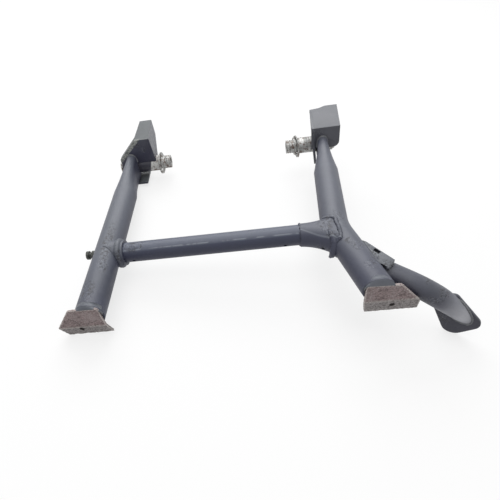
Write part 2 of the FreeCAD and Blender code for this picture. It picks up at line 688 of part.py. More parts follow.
# Soles: bent plates under the leg ends. A flat face meets the ground and a heel is bent up behind it.
for side, leg, mirror in (("left", "left_leg_x", -1.0), ("right", "right_foot_x", 1.0)):

    def out(name):
        """Outboard of the leg's centre line."""
        return (leg, name if mirror > 0 else "-" + name)

    def inboard(name):
        """Inboard of the leg's centre line."""
        return (leg, "-" + name if mirror > 0 else name)

    top_z, crease_z, fall = side + "_sole_top_z", side + "_sole_crease_z", side + "_sole_fall"
    inner, top_out, crease_out = side + "_sole_in", side + "_sole_top_out", side + "_sole_crease_out"
    at_foot = FreeCAD.Placement(Vector(0, sizes["foot_y"], 0), FreeCAD.Rotation())
    upper = new_body(side + "_sole_upper", at_foot)
    face = [(inboard(inner), (top_z,)), (out(top_out), (top_z, "-" + fall)),
            (out(crease_out), (crease_z,)), (inboard(inner), (crease_z,))]
    face_sketch = profile(upper, side + "_sole_outline", "XZ_Plane", face)
    pad(upper, side + "_sole_face", face_sketch, ("sole_plate",))
    half_plate = -sizes["sole_plate"] / 2
    spots = [Vector(measure(*x)[0], half_plate, measure(*z)[0]) for x, z in face[:2]]
    round_edges(upper, side + "_sole_corners", spots, ("sole_corner",))
    crease = Vector(0, sizes["foot_y"], sizes[crease_z])
    lip_place = FreeCAD.Placement(crease, FreeCAD.Rotation(Vector(1, 0, 0), sizes["sole_lip_angle"]))
    lip = new_body(side + "_sole_lip", lip_place)
    lip_face = [(inboard(inner), ("0.03*sole_plate",)), (out(crease_out), ("0.03*sole_plate",)),
                (out(side + "_lip_out"), ("-sole_lip_length",)),
                (inboard(side + "_lip_in"), ("-sole_lip_length",))]
    lip_sketch = profile(lip, side + "_lip_outline", "XZ_Plane", lip_face)
    pad(lip, side + "_lip_face", lip_sketch, ("sole_plate",))
    doc.recompute()
    filler = doc.addObject("Part::Cylinder", side + "_crease_fill")
    filler.Radius = sizes["sole_plate"]
    filler.Height = sizes[inner] + sizes[crease_out]
    filler.Angle = sizes["sole_lip_angle"]
    filler.setExpression("Radius", "dims.sole_plate")
    filler.setExpression("Height", "dims.%s + dims.%s" % (inner, crease_out))
    filler.setExpression("Angle", "dims.sole_lip_angle")
    start = sizes[leg] - (sizes[inner] if mirror > 0 else sizes[crease_out])
    filler.Placement = FreeCAD.Placement(
        Vector(start, sizes["foot_y"], sizes[crease_z]),
        FreeCAD.Rotation(Vector(0, -1, 0), Vector(0, 0, -1), Vector(1, 0, 0), "XYZ"),
    )
    whole = join([upper, lip, filler], side + "_sole_whole")
    drill_x = sizes[leg] + mirror * sizes[side + "_hole_out"]
    drill_start = Vector(drill_x, -6 * sizes["sole_plate"], sizes[crease_z] - sizes["sole_hole_drop"])
    drill = rod(side + "_sole_drill", drill_start, along_y, ("10*sole_plate",), ("sole_hole_radius",))
    node(cut(whole, drill, side + "_sole_drilled"), side + "_sole_plate")

# Brackets: steel plates round each pivot, folded and welded into one open box. The pressed leg
# end passes through the front wall and is coped on the pivot boss.


def plate_body(name, role, points, thick, place, back=False, rounds=()):
    """A flat plate: an outline on one origin plane, its thickness, and corners rounded by number."""
    body = new_body(name, place)
    pad(body, name + "_pad", profile(body, name + "_outline", role, points), thick, reverse=back)
    for number, radius in rounds:
        across, along = measure(*points[number][0])[0], measure(*points[number][1])[0]
        half = measure(*thick)[0] / 2 * (-1 if back else 1)
        spot = {"XY_Plane": Vector(across, along, half), "XZ_Plane": Vector(across, -half, along),
                "YZ_Plane": Vector(half, across, along)}[role]
        round_edges(body, "%s_round_%d" % (name, number), [spot], radius)
    return body


def passage(name, place, reach_in):
    """The outside of a pressed leg end, which notches the plates that the leg passes through."""
    straight = 2 * (sizes["flat_reach"] - sizes["flat_half"])
    before = 2 * sizes["leg_radius"]
    deep = before + reach_in
    middle = block(name + "_middle", Vector(-sizes["flat_half"], -before, -straight / 2),
                   (2 * sizes["flat_half"], deep, straight))
    ends = []
    for side in (-1, 1):
        end_start = Vector(0, -before, side * straight / 2)
        end = rod("%s_end_%d" % (name, side + 1), end_start, along_y, ("leg_radius",), ("flat_half",))
        end.setExpression("Height", None)
        end.Height = deep
        ends.append(end)
    for item in [middle] + ends:
        item.Placement = place.multiply(item.Placement)
    return join([middle] + ends, name)


def turned_by(axis, angle):
    return FreeCAD.Rotation(axis, angle)


level = FreeCAD.Rotation()
along_z = Vector(0, 0, 1)
left_set_back = sizes["left_inner_back_x"] - sizes["left_inner_x"]
right_set_back = sizes["right_back_inner_x"] - sizes["right_inner_x"]
left_skew = math.degrees(math.atan2(left_set_back, sizes["left_depth"]))
right_skew = math.degrees(math.atan2(right_set_back, sizes["right_depth"]))
left_back = ("left_front_y", "left_depth")
right_back = ("right_front_y", "right_depth")
left_front = Vector(0, sizes["left_front_y"], 0)
right_front = Vector(0, sizes["right_front_y"], 0)
lip_top = ("-flat_reach", "lip_bite")
inset = ("-left_outer_x", "1.5*plate")

left_web = plate_body("left_web", "XY_Plane", [
    (("-left_inner_x",), ("left_front_y",)),
    (("-left_inner_back_x",), left_back),
    (("-left_fold_x",), left_back),
    (("-left_fold_x",), ("left_front_y",)),
], ("plate",), FreeCAD.Placement(along_z * sizes["left_web_z"], level), back=True)

left_wall = plate_body("left_wall", "XZ_Plane", [
    (("-left_inner_x", "left_flank_splay"), ("left_flank_low_z",)),
    (("-left_inner_x",), ("left_web_z",)),
    (("-left_fold_x",), ("left_web_z",)),
    (("-left_outer_x",), ("left_shoulder_z",)),
    (("-left_outer_x",), ("left_flank_low_z", "-2*plate")),
    (("-left_fold_x",), ("left_flank_low_z", "-2*plate")),
    (("-left_fold_x", "plate"), ("left_flank_low_z",)),
], ("plate",), FreeCAD.Placement(left_front, level), back=True)

# The inner flank hangs from the web and splays inward toward its lower edge.
flank_height = sizes["left_web_z"] - sizes["left_flank_low_z"]
left_splay = math.degrees(math.atan2(sizes["left_flank_splay"], flank_height))
left_flank_top = Vector(-sizes["left_inner_x"], sizes["left_front_y"], sizes["left_web_z"])
left_flank_turn = turned_by(along_z, left_skew) * turned_by(along_y, -left_splay)
left_flank = plate_body("left_flank", "YZ_Plane", [
    (("0.01*plate",), ("left_flank_low_z", "-plate", "-left_web_z")),
    (("0.01*plate",), ("-0.01*plate",)),
    (("left_depth",), ("-0.01*plate",)),
    (("left_depth", "-left_flank_step"), ("left_flank_mid_z", "-left_web_z")),
    (("left_flank_knee",), ("left_flank_knee_z", "-left_web_z")),
    (("left_flank_knee", "-4*plate"), ("left_flank_low_z", "-2*plate", "-left_web_z")),
], ("plate",), FreeCAD.Placement(left_flank_top, left_flank_turn), back=True)

left_slope = plate_body("left_slope", "XZ_Plane", [
    (("-left_fold_x",), ("left_web_z",)),
    (("-left_outer_x",), ("left_shoulder_z",)),
    (("-left_outer_x",), ("left_shoulder_z", "-1.4*plate")),
    (("-left_fold_x",), ("left_web_z", "-1.4*plate")),
], ("left_slope_depth",), FreeCAD.Placement(left_front, level), back=True)

left_cheek_at = Vector(measure(*inset)[0], 0, 0)
left_cheek = plate_body("left_cheek", "YZ_Plane", [
    (("left_front_y",), lip_top + ("-plate",)),
    (("left_front_y",), ("left_shoulder_z", "-0.5*plate")),
    (("left_front_y", "left_slope_depth"), ("left_shoulder_z", "-0.5*plate")),
    (("left_front_y", "lip_back", "3.5*plate"), ("pivot_z",)),
    (("left_front_y", "lip_back", "2*plate"), lip_top + ("-plate",)),
], ("plate",), FreeCAD.Placement(left_cheek_at, level), back=True)

left_lip = plate_body("left_lip", "XY_Plane", [
    (("-lip_x",), ("left_front_y", "-lip_front")),
    (("-lip_x",), ("left_front_y", "lip_back")),
    (inset, ("left_front_y", "lip_back")),
    (inset, ("left_front_y",)),
    (("-left_fold_x", "-3*plate"), ("left_front_y", "-lip_front")),
], ("plate",), FreeCAD.Placement(along_z * measure(*lip_top)[0], level), back=True)

left_box = join([left_web, left_wall, left_flank, left_slope, left_cheek, left_lip], "left_box")
left_way_in = FreeCAD.Placement(Vector(sizes["left_leg_x"], sizes["left_front_y"], 0), level)
left_passage = passage("left_passage", left_way_in, sizes["leg_end_y"] - sizes["left_front_y"])
left_notched = cut(left_box, left_passage, "left_notched")
node(cut(left_notched, bosses["left"], "left_bracket_bored"), "left_bracket")

right_skewed = turned_by(along_z, -right_skew)
right_web = plate_body("right_web", "XY_Plane", [
    (("right_inner_x",), ("right_front_y",)),
    (("right_outer_x",), ("right_front_y",)),
    (("right_back_outer_x",), right_back + ("right_step",)),
    (("right_step_x",), right_back + ("right_step",)),
    (("right_step_x", "-3*plate"), right_back + ("0.7*plate",)),
    (("right_back_inner_x",), right_back),
], ("plate",), FreeCAD.Placement(along_z * sizes["right_web_z"], level), back=True)

right_wall = plate_body("right_wall", "XZ_Plane", [
    (("right_inner_x",), ("right_web_z",)),
    (("right_outer_x",), ("right_web_z",)),
    (("right_outer_x",), ("right_wall_low_z",)),
    (("right_inner_x",), ("right_wall_low_z",)),
], ("plate",), FreeCAD.Placement(right_front, level), back=True, rounds=[(2, ("right_wall_round",))])

# The inner lug hangs from the web past the boss and leans as it goes down.
right_lug_top = Vector(sizes["right_inner_x"], sizes["right_front_y"], sizes["right_web_z"])
right_lug_turn = right_skewed * turned_by(along_y, -sizes["right_lug_lean"])
right_lug = plate_body("right_lug", "YZ_Plane", [
    (("0.01*plate",), ("-0.01*plate",)),
    (("right_depth",), ("-0.01*plate",)),
    (("right_depth", "-2*plate"), ("right_cheek_low_z", "3*plate", "-right_web_z")),
    (("right_lug_depth",), ("right_lug_low_z", "4*plate", "-right_web_z")),
    (("right_lug_depth", "-3*plate"), ("right_lug_low_z", "-right_web_z")),
    (("-1.4*plate",), ("right_lug_low_z", "-right_web_z")),
    (("-1.4*plate",), ("right_lug_low_z", "plate", "-right_web_z")),
    (("0.01*plate",), ("right_wall_low_z", "-right_web_z")),
], ("plate",), FreeCAD.Placement(right_lug_top, right_lug_turn))

right_cheek_at = Vector(sizes["right_outer_x"], sizes["right_front_y"], 0)
right_cheek = plate_body("right_cheek", "YZ_Plane", [
    (("0.5*plate",), ("right_web_z",)),
    (("right_depth",), ("right_web_z",)),
    (("right_depth", "-3*plate"), ("right_cheek_low_z", "3*plate")),
    (("right_lug_depth", "-3*plate"), ("right_cheek_low_z",)),
    (("3*plate",), ("right_cheek_low_z",)),
    (("0.5*plate",), ("right_cheek_low_z", "2*plate")),
], ("plate",), FreeCAD.Placement(right_cheek_at, right_skewed), back=True)

right_box = join([right_web, right_wall, right_lug, right_cheek], "right_box")
right_run = sizes["right_front_y"] - sizes["right_bend_y"]
right_leg_at = Vector(sizes["right_bend_x"] + right_run * up_x / up_y, sizes["right_front_y"], 0)
right_way_in = FreeCAD.Placement(right_leg_at, turned_by(along_z, -lean))
right_reach_in = (sizes["leg_end_y"] - sizes["right_front_y"]) / to_upper
right_passage = passage("right_passage", right_way_in, right_reach_in)
right_notched = cut(right_box, right_passage, "right_notched")
node(cut(right_notched, bosses["right"], "right_bracket_bored"), "right_bracket")

# Pivot sleeves: hardened collars that turn in the bosses, with shallow grooves on the end that shows.
for side, mirror in (("left", -1.0), ("right", 1.0)):
    end_name = side + "_sleeve_end_x"
    outer = sizes[side + "_boss_out"] + sizes["sleeve_out"]
    start_x = -outer if mirror < 0 else sizes[end_name]
    span = (side + "_boss_out", "sleeve_out", "-" + end_name)
    start = pivot + Vector(start_x, 0, 0)
    skin = rod(side + "_sleeve_skin", start, along_x, span, ("sleeve_radius",))
    bore = rod(side + "_sleeve_bore", start, along_x, span, ("sleeve_bore",))
    hollow = cut(skin, bore, side + "_sleeve_hollow")
    grooves = []
    for number in range(3):
        at = sizes[end_name] + sizes["groove_step"] * (number + 0.7)
        ring_start = pivot + Vector(mirror * at - sizes["groove_width"] / 2, 0, 0)
        ring_out = rod("%s_groove_out_%d" % (side, number), ring_start, along_x,
                       ("groove_width",), ("sleeve_radius", "groove_width"))
        ring_in = rod("%s_groove_in_%d" % (side, number), ring_start, along_x,
                      ("groove_width",), ("sleeve_radius", "-groove_depth"))
        grooves.append(cut(ring_out, ring_in, "%s_groove_%d" % (side, number)))
    grooved = cut(hollow, join(grooves, side + "_grooves"), side + "_sleeve_grooved")
    node(grooved, side + "_pivot_sleeve")

    # The washer hangs loose on the sleeve, a little askew.
    slack = sizes["washer_slack"]
    hang = sizes["washer_hole"] - sizes["sleeve_radius"] - slack
    way = turned_by(along_z, sizes[side + "_washer_skew"] * mirror).multVec(along_x)
    centre = pivot + Vector(mirror * sizes[side + "_washer_x"], 0, -hang)
    start = centre - way * (sizes["washer_plate"] / 2)
    disc = rod(side + "_washer_disc", start, way, ("washer_plate",), ("washer_radius",))
    hole = rod(side + "_washer_bore", start, way, ("washer_plate",), ("washer_hole",))
    node(cut(disc, hole, side + "_washer_cut"), side + "_sleeve_washer")

# A thin ring beside the right washer, on the side of the sleeve's free end.
ring_way = turned_by(along_z, sizes["ring_skew"]).multVec(along_x)
ring_centre = pivot + Vector(sizes["right_washer_x"] - sizes["ring_gap"], 0, -slack)
ring_start = ring_centre - ring_way * (sizes["ring_plate"] / 2)
ring_disc = rod("right_ring_disc", ring_start, ring_way, ("ring_plate",), ("ring_radius",))
ring_bore = rod("right_ring_bore", ring_start, ring_way, ("ring_plate",), ("sleeve_radius", "0.5*ring_plate"))
node(cut(ring_disc, ring_bore, "right_ring_cut"), "right_sleeve_ring")

# Spring peg: a grooved stud on the outside of the left leg.
peg_start = Vector(sizes["left_leg_x"], sizes["peg_y"], 0)
peg_bar = rod("peg_bar", peg_start, Vector(-1, 0, 0), ("leg_radius", "peg_length"), ("peg_radius",))
neck_start = peg_start + Vector(-(sizes["leg_radius"] + sizes["peg_length"] - sizes["peg_head"]), 0, 0)
neck_out = rod("peg_neck_out", neck_start, along_x, ("peg_groove",), ("peg_radius", "peg_neck"))
neck_in = rod("peg_neck_in", neck_start, along_x, ("peg_groove",), ("peg_neck",))
peg_grooved = cut(peg_bar, cut(neck_out, neck_in, "peg_groove_ring"), "peg_grooved")
node(cut(peg_grooved, left_core, "peg_off_leg"), "spring_peg")

doc.recompute()
failed = [item.Name for item in doc.Objects if "Invalid" in item.State or "Error" in item.State]
if failed:
    raise RuntimeError("did not rebuild: " + ", ".join(failed))

# The stand lies on the floor plane, centred on the origin.
box = FreeCAD.BoundBox()
for item in nodes:
    box.add(item.Shape.optimalBoundingBox(False, False))
middle = Vector(-box.Center.x, -box.Center.y, -box.ZMin)
for item in nodes:
    item.Placement = FreeCAD.Placement(middle, FreeCAD.Rotation()).multiply(item.Placement)
doc.recompute()
print("laid at %.3f %.3f %.3f, size %.1f %.1f %.1f" % (*middle, box.XLength, box.YLength, box.ZLength))
os.makedirs("parts", exist_ok=True)
for item in nodes:
    shape = item.Shape
    if shape.isNull() or not shape.isValid():
        raise RuntimeError(item.Label + " is not a valid solid")
    print("%-24s solids %d volume %.0f" % (item.Label, len(shape.Solids), shape.Volume))
    shape.exportStep("parts/%s.step" % item.Label)
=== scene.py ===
import bmesh
import bpy
import math
from mathutils import Euler, Matrix, Vector, kdtree
from mathutils import noise as field
from mathutils.bvhtree import BVHTree


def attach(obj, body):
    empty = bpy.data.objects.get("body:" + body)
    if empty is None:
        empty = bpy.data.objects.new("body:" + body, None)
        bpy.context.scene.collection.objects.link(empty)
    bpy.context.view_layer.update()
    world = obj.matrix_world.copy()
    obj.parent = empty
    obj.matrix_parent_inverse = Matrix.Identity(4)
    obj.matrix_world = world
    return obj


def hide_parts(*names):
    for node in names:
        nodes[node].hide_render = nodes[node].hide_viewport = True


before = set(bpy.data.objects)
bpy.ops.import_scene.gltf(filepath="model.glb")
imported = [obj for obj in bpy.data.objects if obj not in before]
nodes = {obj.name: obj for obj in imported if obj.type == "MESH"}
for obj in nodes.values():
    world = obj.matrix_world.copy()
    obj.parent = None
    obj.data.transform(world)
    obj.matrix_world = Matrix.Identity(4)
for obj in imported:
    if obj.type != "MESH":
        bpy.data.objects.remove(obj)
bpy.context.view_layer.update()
scene = bpy.context.scene
scene.view_settings.view_transform = "Standard"

# The stand lies on the floor the way it was put down: on one sole, one bracket and the lever's pad.
# Its own frame has X along the pivot axis, Y from the soles to the pivots and Z square to the legs.
# The camera stands high in front of the soles and looks down over them to the pivots.
lie_roll = 7.8
lie_pitch = 1.77
lying = Matrix.Rotation(math.radians(-lie_pitch), 3, "X") @ Matrix.Rotation(math.radians(-lie_roll), 3, "Y")
laid_at = Vector((-44.229, -183.050, 57.706))
eye = (40.668, -277.929, 331.151)
eye_turned = (44.5951, 7.4819, -0.3453)


def laid(x, y, z):
    """A point of the stand's own frame, in millimetres, as a scene point in metres."""
    return (lying @ Vector((x, y, z)) + laid_at) * 0.001


camera_data = bpy.data.cameras.new("camera")
camera = bpy.data.objects.new("camera", camera_data)
scene.collection.objects.link(camera)
camera.location = laid(*eye)
aim = Euler([math.radians(angle) for angle in eye_turned])
camera.rotation_euler = (lying @ aim.to_matrix()).to_euler()
camera_data.sensor_width = 36.0
camera_data.lens = 28.781
camera_data.shift_x = 0.0429
camera_data.shift_y = 0.0354
camera_data.clip_start = 0.01
scene.camera = camera


# Left leg. One steel tube 34 mm across, pressed flat at its upper end and painted dark blue-grey
# after welding. The paint has orange peel, fine scuffs along it and small chips, and is a lighter
# grey on top: partly dust, partly painted light from above.
# Every finish below reads a point in the stand's own millimetres, so a mark has its real place.
def put(tree, socket, value):
    """Gives a socket its value: a link, a colour without its alpha, or a number."""
    if isinstance(value, bpy.types.NodeSocket):
        tree.links.new(value, socket)
    elif isinstance(value, tuple) and len(socket.default_value) == 4:
        socket.default_value = (*value, 1.0)
    else:
        socket.default_value = value


def new_finish(name):
    """A material with its tree, its shader and the place on the stand that is being shaded."""
    finish = bpy.data.materials.new(name)
    finish.use_nodes = True
    tree = finish.node_tree
    coords = tree.nodes.new("ShaderNodeTexCoord").outputs["Object"]
    to_stand = tree.nodes.new("ShaderNodeMapping")
    to_stand.vector_type = "TEXTURE"
    to_stand.inputs["Location"].default_value = laid_at * 0.001
    to_stand.inputs["Rotation"].default_value = lying.to_euler()
    to_stand.inputs["Scale"].default_value = (0.001, 0.001, 0.001)
    tree.links.new(coords, to_stand.inputs["Vector"])
    return finish, tree, tree.nodes["Principled BSDF"], to_stand.outputs["Vector"]


def grain(tree, place, scale, detail=4.0, rough=0.6, stretch=None):
    """Noise with a grain of 1/scale millimetres, drawn out along an axis where asked."""
    if stretch is not None:
        drawn = tree.nodes.new("ShaderNodeMapping")
        drawn.inputs["Scale"].default_value = stretch
        tree.links.new(place, drawn.inputs["Vector"])
        place = drawn.outputs["Vector"]
    node = tree.nodes.new("ShaderNodeTexNoise")
    put(tree, node.inputs["Vector"], place)
    node.inputs["Scale"].default_value = scale
    node.inputs["Detail"].default_value = detail
    node.inputs["Roughness"].default_value = rough
    return node.outputs["Fac"]


def step(tree, value, low, high):
    """Eases from 0 to 1 as the value goes from low to high."""
    node = tree.nodes.new("ShaderNodeMapRange")
    node.interpolation_type = "SMOOTHSTEP"
    put(tree, node.inputs["Value"], value)
    node.inputs["From Min"].default_value = low
    node.inputs["From Max"].default_value = high
    return node.outputs["Result"]


def span(tree, value, low, high, out_low, out_high):
    """Takes the value's range from low to high over to another range, in a straight line."""
    node = tree.nodes.new("ShaderNodeMapRange")
    put(tree, node.inputs["Value"], value)
    for name, number in (("From Min", low), ("From Max", high), ("To Min", out_low), ("To Max", out_high)):
        node.inputs[name].default_value = number
    return node.outputs["Result"]


def mix(tree, factor, first, second):
    """The first colour where the factor is 0, and the second where it is 1."""
    node = tree.nodes.new("ShaderNodeMix")
    node.data_type = "RGBA"
    put(tree, node.inputs[0], factor)
    put(tree, node.inputs[6], first)
    put(tree, node.inputs[7], second)
    return node.outputs[2]


def calc(tree, operation, *values):
    """One step of arithmetic on sockets and numbers."""
    node = tree.nodes.new("ShaderNodeMath")
    node.operation = operation
    for socket, value in zip(node.inputs, values):
        put(tree, socket, value)
    return node.outputs[0]


def tint(tree, colour, where, share, over):
    """A colour with another laid over it, where the mask is high and no more than its share."""
    return mix(tree, calc(tree, "MULTIPLY", where, share), colour, over)


def axes_of(tree, vector):
    """A vector's X, Y and Z."""
    parts = tree.nodes.new("ShaderNodeSeparateXYZ")
    tree.links.new(vector, parts.inputs[0])
    return parts.outputs["X"], parts.outputs["Y"], parts.outputs["Z"]


def facing(tree):
    """Which way the surface looks as the stand lies. Z is high on top, where dust settles and
    where light from above is painted in.
    """
    return axes_of(tree, tree.nodes.new("ShaderNodeNewGeometry").outputs["Normal"])


def edge_wear(tree, radius):
    """High along sharp edges, from how far a rounded normal turns from the face's own."""
    rounded = tree.nodes.new("ShaderNodeBevel")
    rounded.samples = 6
    rounded.inputs["Radius"].default_value = radius
    geometry = tree.nodes.new("ShaderNodeNewGeometry")
    agree = tree.nodes.new("ShaderNodeVectorMath")
    agree.operation = "DOT_PRODUCT"
    tree.links.new(rounded.outputs[0], agree.inputs[0])
    tree.links.new(geometry.outputs["Normal"], agree.inputs[1])
    return step(tree, agree.outputs["Value"], 0.99, 0.86), rounded.outputs[0]


def near(tree, place, spot, radius, soft, squeeze=(1.0, 1.0, 1.0)):
    """High inside a ball, or an egg squeezed along the axes, round a point of the stand."""
    away = tree.nodes.new("ShaderNodeVectorMath")
    away.operation = "SUBTRACT"
    tree.links.new(place, away.inputs[0])
    away.inputs[1].default_value = spot
    scaled = tree.nodes.new("ShaderNodeVectorMath")
    scaled.operation = "MULTIPLY"
    tree.links.new(away.outputs[0], scaled.inputs[0])
    scaled.inputs[1].default_value = squeeze
    length = tree.nodes.new("ShaderNodeVectorMath")
    length.operation = "LENGTH"
    tree.links.new(scaled.outputs[0], length.inputs[0])
    return step(tree, length.outputs["Value"], radius + soft, radius - soft)


def relief(tree, shader, height, strength, distance, normal=None):
    """Fine bumps in the surface, on top of a rounded normal where one is given."""
    node = tree.nodes.new("ShaderNodeBump")
    node.inputs["Strength"].default_value = strength
    node.inputs["Distance"].default_value = distance
    put(tree, node.inputs["Height"], height)
    if normal is not None:
        tree.links.new(normal, node.inputs["Normal"])
    tree.links.new(node.outputs[0], shader.inputs["Normal"])


def dress(finish, *names):
    """Gives solids of the frame their one finish."""
    for name in names:
        slots = nodes[name].data.materials
        slots.clear()
        slots.append(finish)


def stand_paint(name, deep, dust_and_painted_light, dust=1.0, scuff_along=(1.0, 0.05, 1.0), chipped=(), all_over=0.0,
                clean_foot=False):
    """The stand's paint. deep is its own colour; the colour after it is the lighter grey on surfaces
    that face up, partly dust and partly painted light from above, and dust is how much of it there
    is. all_over lets it reach the sides too, and clean_foot keeps it off near the soles. chipped
    lists places of flaked paint as (point, reach, squeeze)."""
    scuff_grey = (0.24, 0.25, 0.26)
    fleck_grey = (0.235, 0.255, 0.280)
    under_paint = (0.022, 0.020, 0.024)
    edge_grey = (0.25, 0.255, 0.25)
    finish, tree, shader, place = new_finish(name)
    cloud = grain(tree, place, 0.020, 5.0)
    grime = grain(tree, place, 0.085, 8.0, 0.7)
    peel = grain(tree, place, 0.40, 3.0, 0.55)
    scuff = grain(tree, place, 0.55, 2.0, 0.5, scuff_along)
    flake = grain(tree, place, 0.27, 4.0, 0.8)
    speck = grain(tree, place, 0.85, 2.0, 0.6)
    wear, rounded = edge_wear(tree, 0.0010)
    lift = calc(tree, "ADD", facing(tree)[2], all_over)

    darker = tuple(c * 0.72 for c in deep)
    colour = mix(tree, step(tree, cloud, 0.35, 0.68), darker, deep)
    # Lighter grey where the surface faces up: partly dust lying there, partly painted light from above.
    dust_and_painted_light_share = calc(tree, "MULTIPLY", step(tree, lift, -0.10, 0.98), span(tree, grime, 0.25, 0.75, 0.55, 1.0))
    if clean_foot:
        along = axes_of(tree, place)[1]
        dust_and_painted_light_share = calc(tree, "MULTIPLY", dust_and_painted_light_share, span(tree, along, 5.0, 95.0, 0.45, 1.0))
    colour = tint(tree, colour, dust_and_painted_light_share, 0.78 * dust, dust_and_painted_light)
    rubbed = calc(tree, "MULTIPLY", step(tree, scuff, 0.62, 0.74), step(tree, cloud, 0.45, 0.6))
    colour = tint(tree, colour, rubbed, 0.16, scuff_grey)
    chips = calc(tree, "MULTIPLY", step(tree, flake, 0.70, 0.715), 0.5)
    for spot, reach, squeeze in chipped:
        there = near(tree, place, spot, reach, reach * 0.35, squeeze)
        chips = calc(tree, "MAXIMUM", chips, calc(tree, "MULTIPLY", there, step(tree, flake, 0.53, 0.56)))
        fleck = calc(tree, "MULTIPLY", there, step(tree, speck, 0.56, 0.60))
        colour = tint(tree, colour, fleck, 0.38, fleck_grey)
    colour = tint(tree, colour, chips, 0.8, under_paint)
    rim = calc(tree, "MULTIPLY", wear, step(tree, flake, 0.35, 0.6))
    colour = tint(tree, colour, rim, 0.40, edge_grey)

    height = calc(tree, "ADD", calc(tree, "MULTIPLY", peel, 0.6), calc(tree, "MULTIPLY", chips, -1.0))
    relief(tree, shader, height, 0.5, 0.00040, rounded)
    shader.inputs["Specular IOR Level"].default_value = 0.45
    shader.inputs["IOR"].default_value = 1.5
    tree.links.new(span(tree, grime, 0.3, 0.75, 0.40, 0.56), shader.inputs["Roughness"])
    tree.links.new(colour, shader.inputs["Base Color"])
    return finish, tree, shader, place, colour


navy = (0.043, 0.046, 0.078)
left_leg_chips = [
    ((-153.0, 100.0, 16.0), 10.0, (1.6, 0.25, 1.0)),
    ((-150.0, 62.0, 15.0), 7.0, (1.4, 0.5, 1.0)),
    ((-160.0, 20.0, 16.0), 9.0, (1.0, 0.6, 1.0)),
    ((-172.0, 25.0, 8.0), 8.0, (1.0, 0.15, 1.0)),
]
left_leg_paint = stand_paint("left_leg_paint", navy, (0.128, 0.140, 0.160), chipped=left_leg_chips,
                             clean_foot=True)[0]
dress(left_leg_paint, "left_leg_tube")

# Right leg. The same tube, bent to lead the foot outwards, and pressed at its upper end like the
# left one. Its paint is bluer, flaked round the gusset's welds and rubbed near the foot.
right_leg_chips = [
    ((147.0, 51.0, 16.5), 7.0, (1.0, 0.9, 1.0)),
    ((152.6, 20.0, 17.0), 6.5, (1.0, 1.0, 1.0)),
    ((138.5, 60.5, 16.7), 5.0, (1.0, 1.0, 1.0)),
    ((133.0, 100.0, 16.0), 9.0, (1.0, 0.6, 1.0)),
    ((160.0, 34.0, 13.0), 6.0, (1.2, 0.5, 1.0)),
]
right_leg_paint = stand_paint("right_leg_paint", navy, (0.128, 0.138, 0.162), chipped=right_leg_chips,
                              clean_foot=True)[0]
dress(right_leg_paint, "right_leg_tube")

# Soles. Each is a steel plate welded over the foot's open end, its lower part bent forward to a
# heel with one small hole. Bare and worn: rust in the pits, the heel rubbed grey, ragged rims.
heel_holes = {"left": Vector((-173.0, -4.0, -19.6)), "right": Vector((173.5, -4.0, -23.4))}
hole_clear = 7.0
sharp_rim = math.radians(35)
rim_width = 1.5
ragged_height = 7.0
deepest_bite = 1.5


def placed(name, data):
    """A new object at the origin of the scene."""
    item = bpy.data.objects.new(name, data)
    scene.collection.objects.link(item)
    return item


def merged_copy(node, name):
    """A copy of a solid's mesh with its loose triangles joined to one shell of flat faces."""
    mesh = nodes[node].data.copy()
    mesh.name = name
    mesh.materials.clear()
    shell = bmesh.new()
    shell.from_mesh(mesh)
    bmesh.ops.remove_doubles(shell, verts=shell.verts, dist=0.000004)
    bmesh.ops.dissolve_limit(shell, angle_limit=math.radians(0.4), verts=shell.verts, edges=shell.edges)
    shell.to_mesh(mesh)
    shell.free()
    return placed(name, mesh)


def made_plain(piece):
    """The piece's modifiers worked into its own mesh, with smooth faces."""
    bpy.context.view_layer.update()
    shaped = piece.evaluated_get(bpy.context.evaluated_depsgraph_get())
    mesh = bpy.data.meshes.new_from_object(shaped)
    mesh.name = piece.name
    piece.modifiers.clear()
    piece.data = mesh
    smooth_faces(mesh)
    return mesh


def smooth_faces(mesh):
    """Shades a whole mesh smooth."""
    for face in mesh.polygons:
        face.use_smooth = True


def in_stand(point):
    """A scene point back in the stand's own millimetres."""
    return lying.transposed() @ (point * 1000 - laid_at)


sole_rust, tree, shader, place = new_finish("worn_sole")
pits = grain(tree, place, 0.46, 6.0, 0.75)
stain = grain(tree, place, 0.075, 5.0)
grit = grain(tree, place, 1.0, 3.0, 0.65)
pitted = step(tree, pits, 0.36, 0.62)
rust = mix(tree, pitted, (0.105, 0.078, 0.077), (0.300, 0.228, 0.226))
rust = tint(tree, rust, step(tree, stain, 0.42, 0.7), 0.6, (0.315, 0.262, 0.262))
rubbed_grey = mix(tree, pitted, (0.120, 0.108, 0.107), (0.315, 0.295, 0.292))
ragged = calc(tree, "MULTIPLY", grain(tree, place, 0.25, 3.0), 5.0)
ragged_z = calc(tree, "ADD", axes_of(tree, place)[2], ragged)
colour = tint(tree, rust, step(tree, ragged_z, -11.5, -14.5), 0.9, rubbed_grey)
rim_share = tree.nodes.new("ShaderNodeAttribute")
rim_share.attribute_name = "rim"
bright = calc(tree, "MULTIPLY", rim_share.outputs["Fac"], step(tree, grit, 0.36, 0.56))
colour = tint(tree, colour, bright, 0.85, (0.62, 0.58, 0.55))
crease = near(tree, place, (0.0, -5.6, -15.5), 1.5, 1.2, (0.0, 0.0, 1.0))
crease = calc(tree, "MULTIPLY", crease, step(tree, grit, 0.42, 0.58))
colour = tint(tree, colour, crease, 0.6, (0.52, 0.49, 0.46))
colour = mix(tree, step(tree, grit, 0.635, 0.68), colour, (0.66, 0.62, 0.60))
colour = mix(tree, step(tree, grit, 0.34, 0.29), colour, (0.045, 0.030, 0.028))
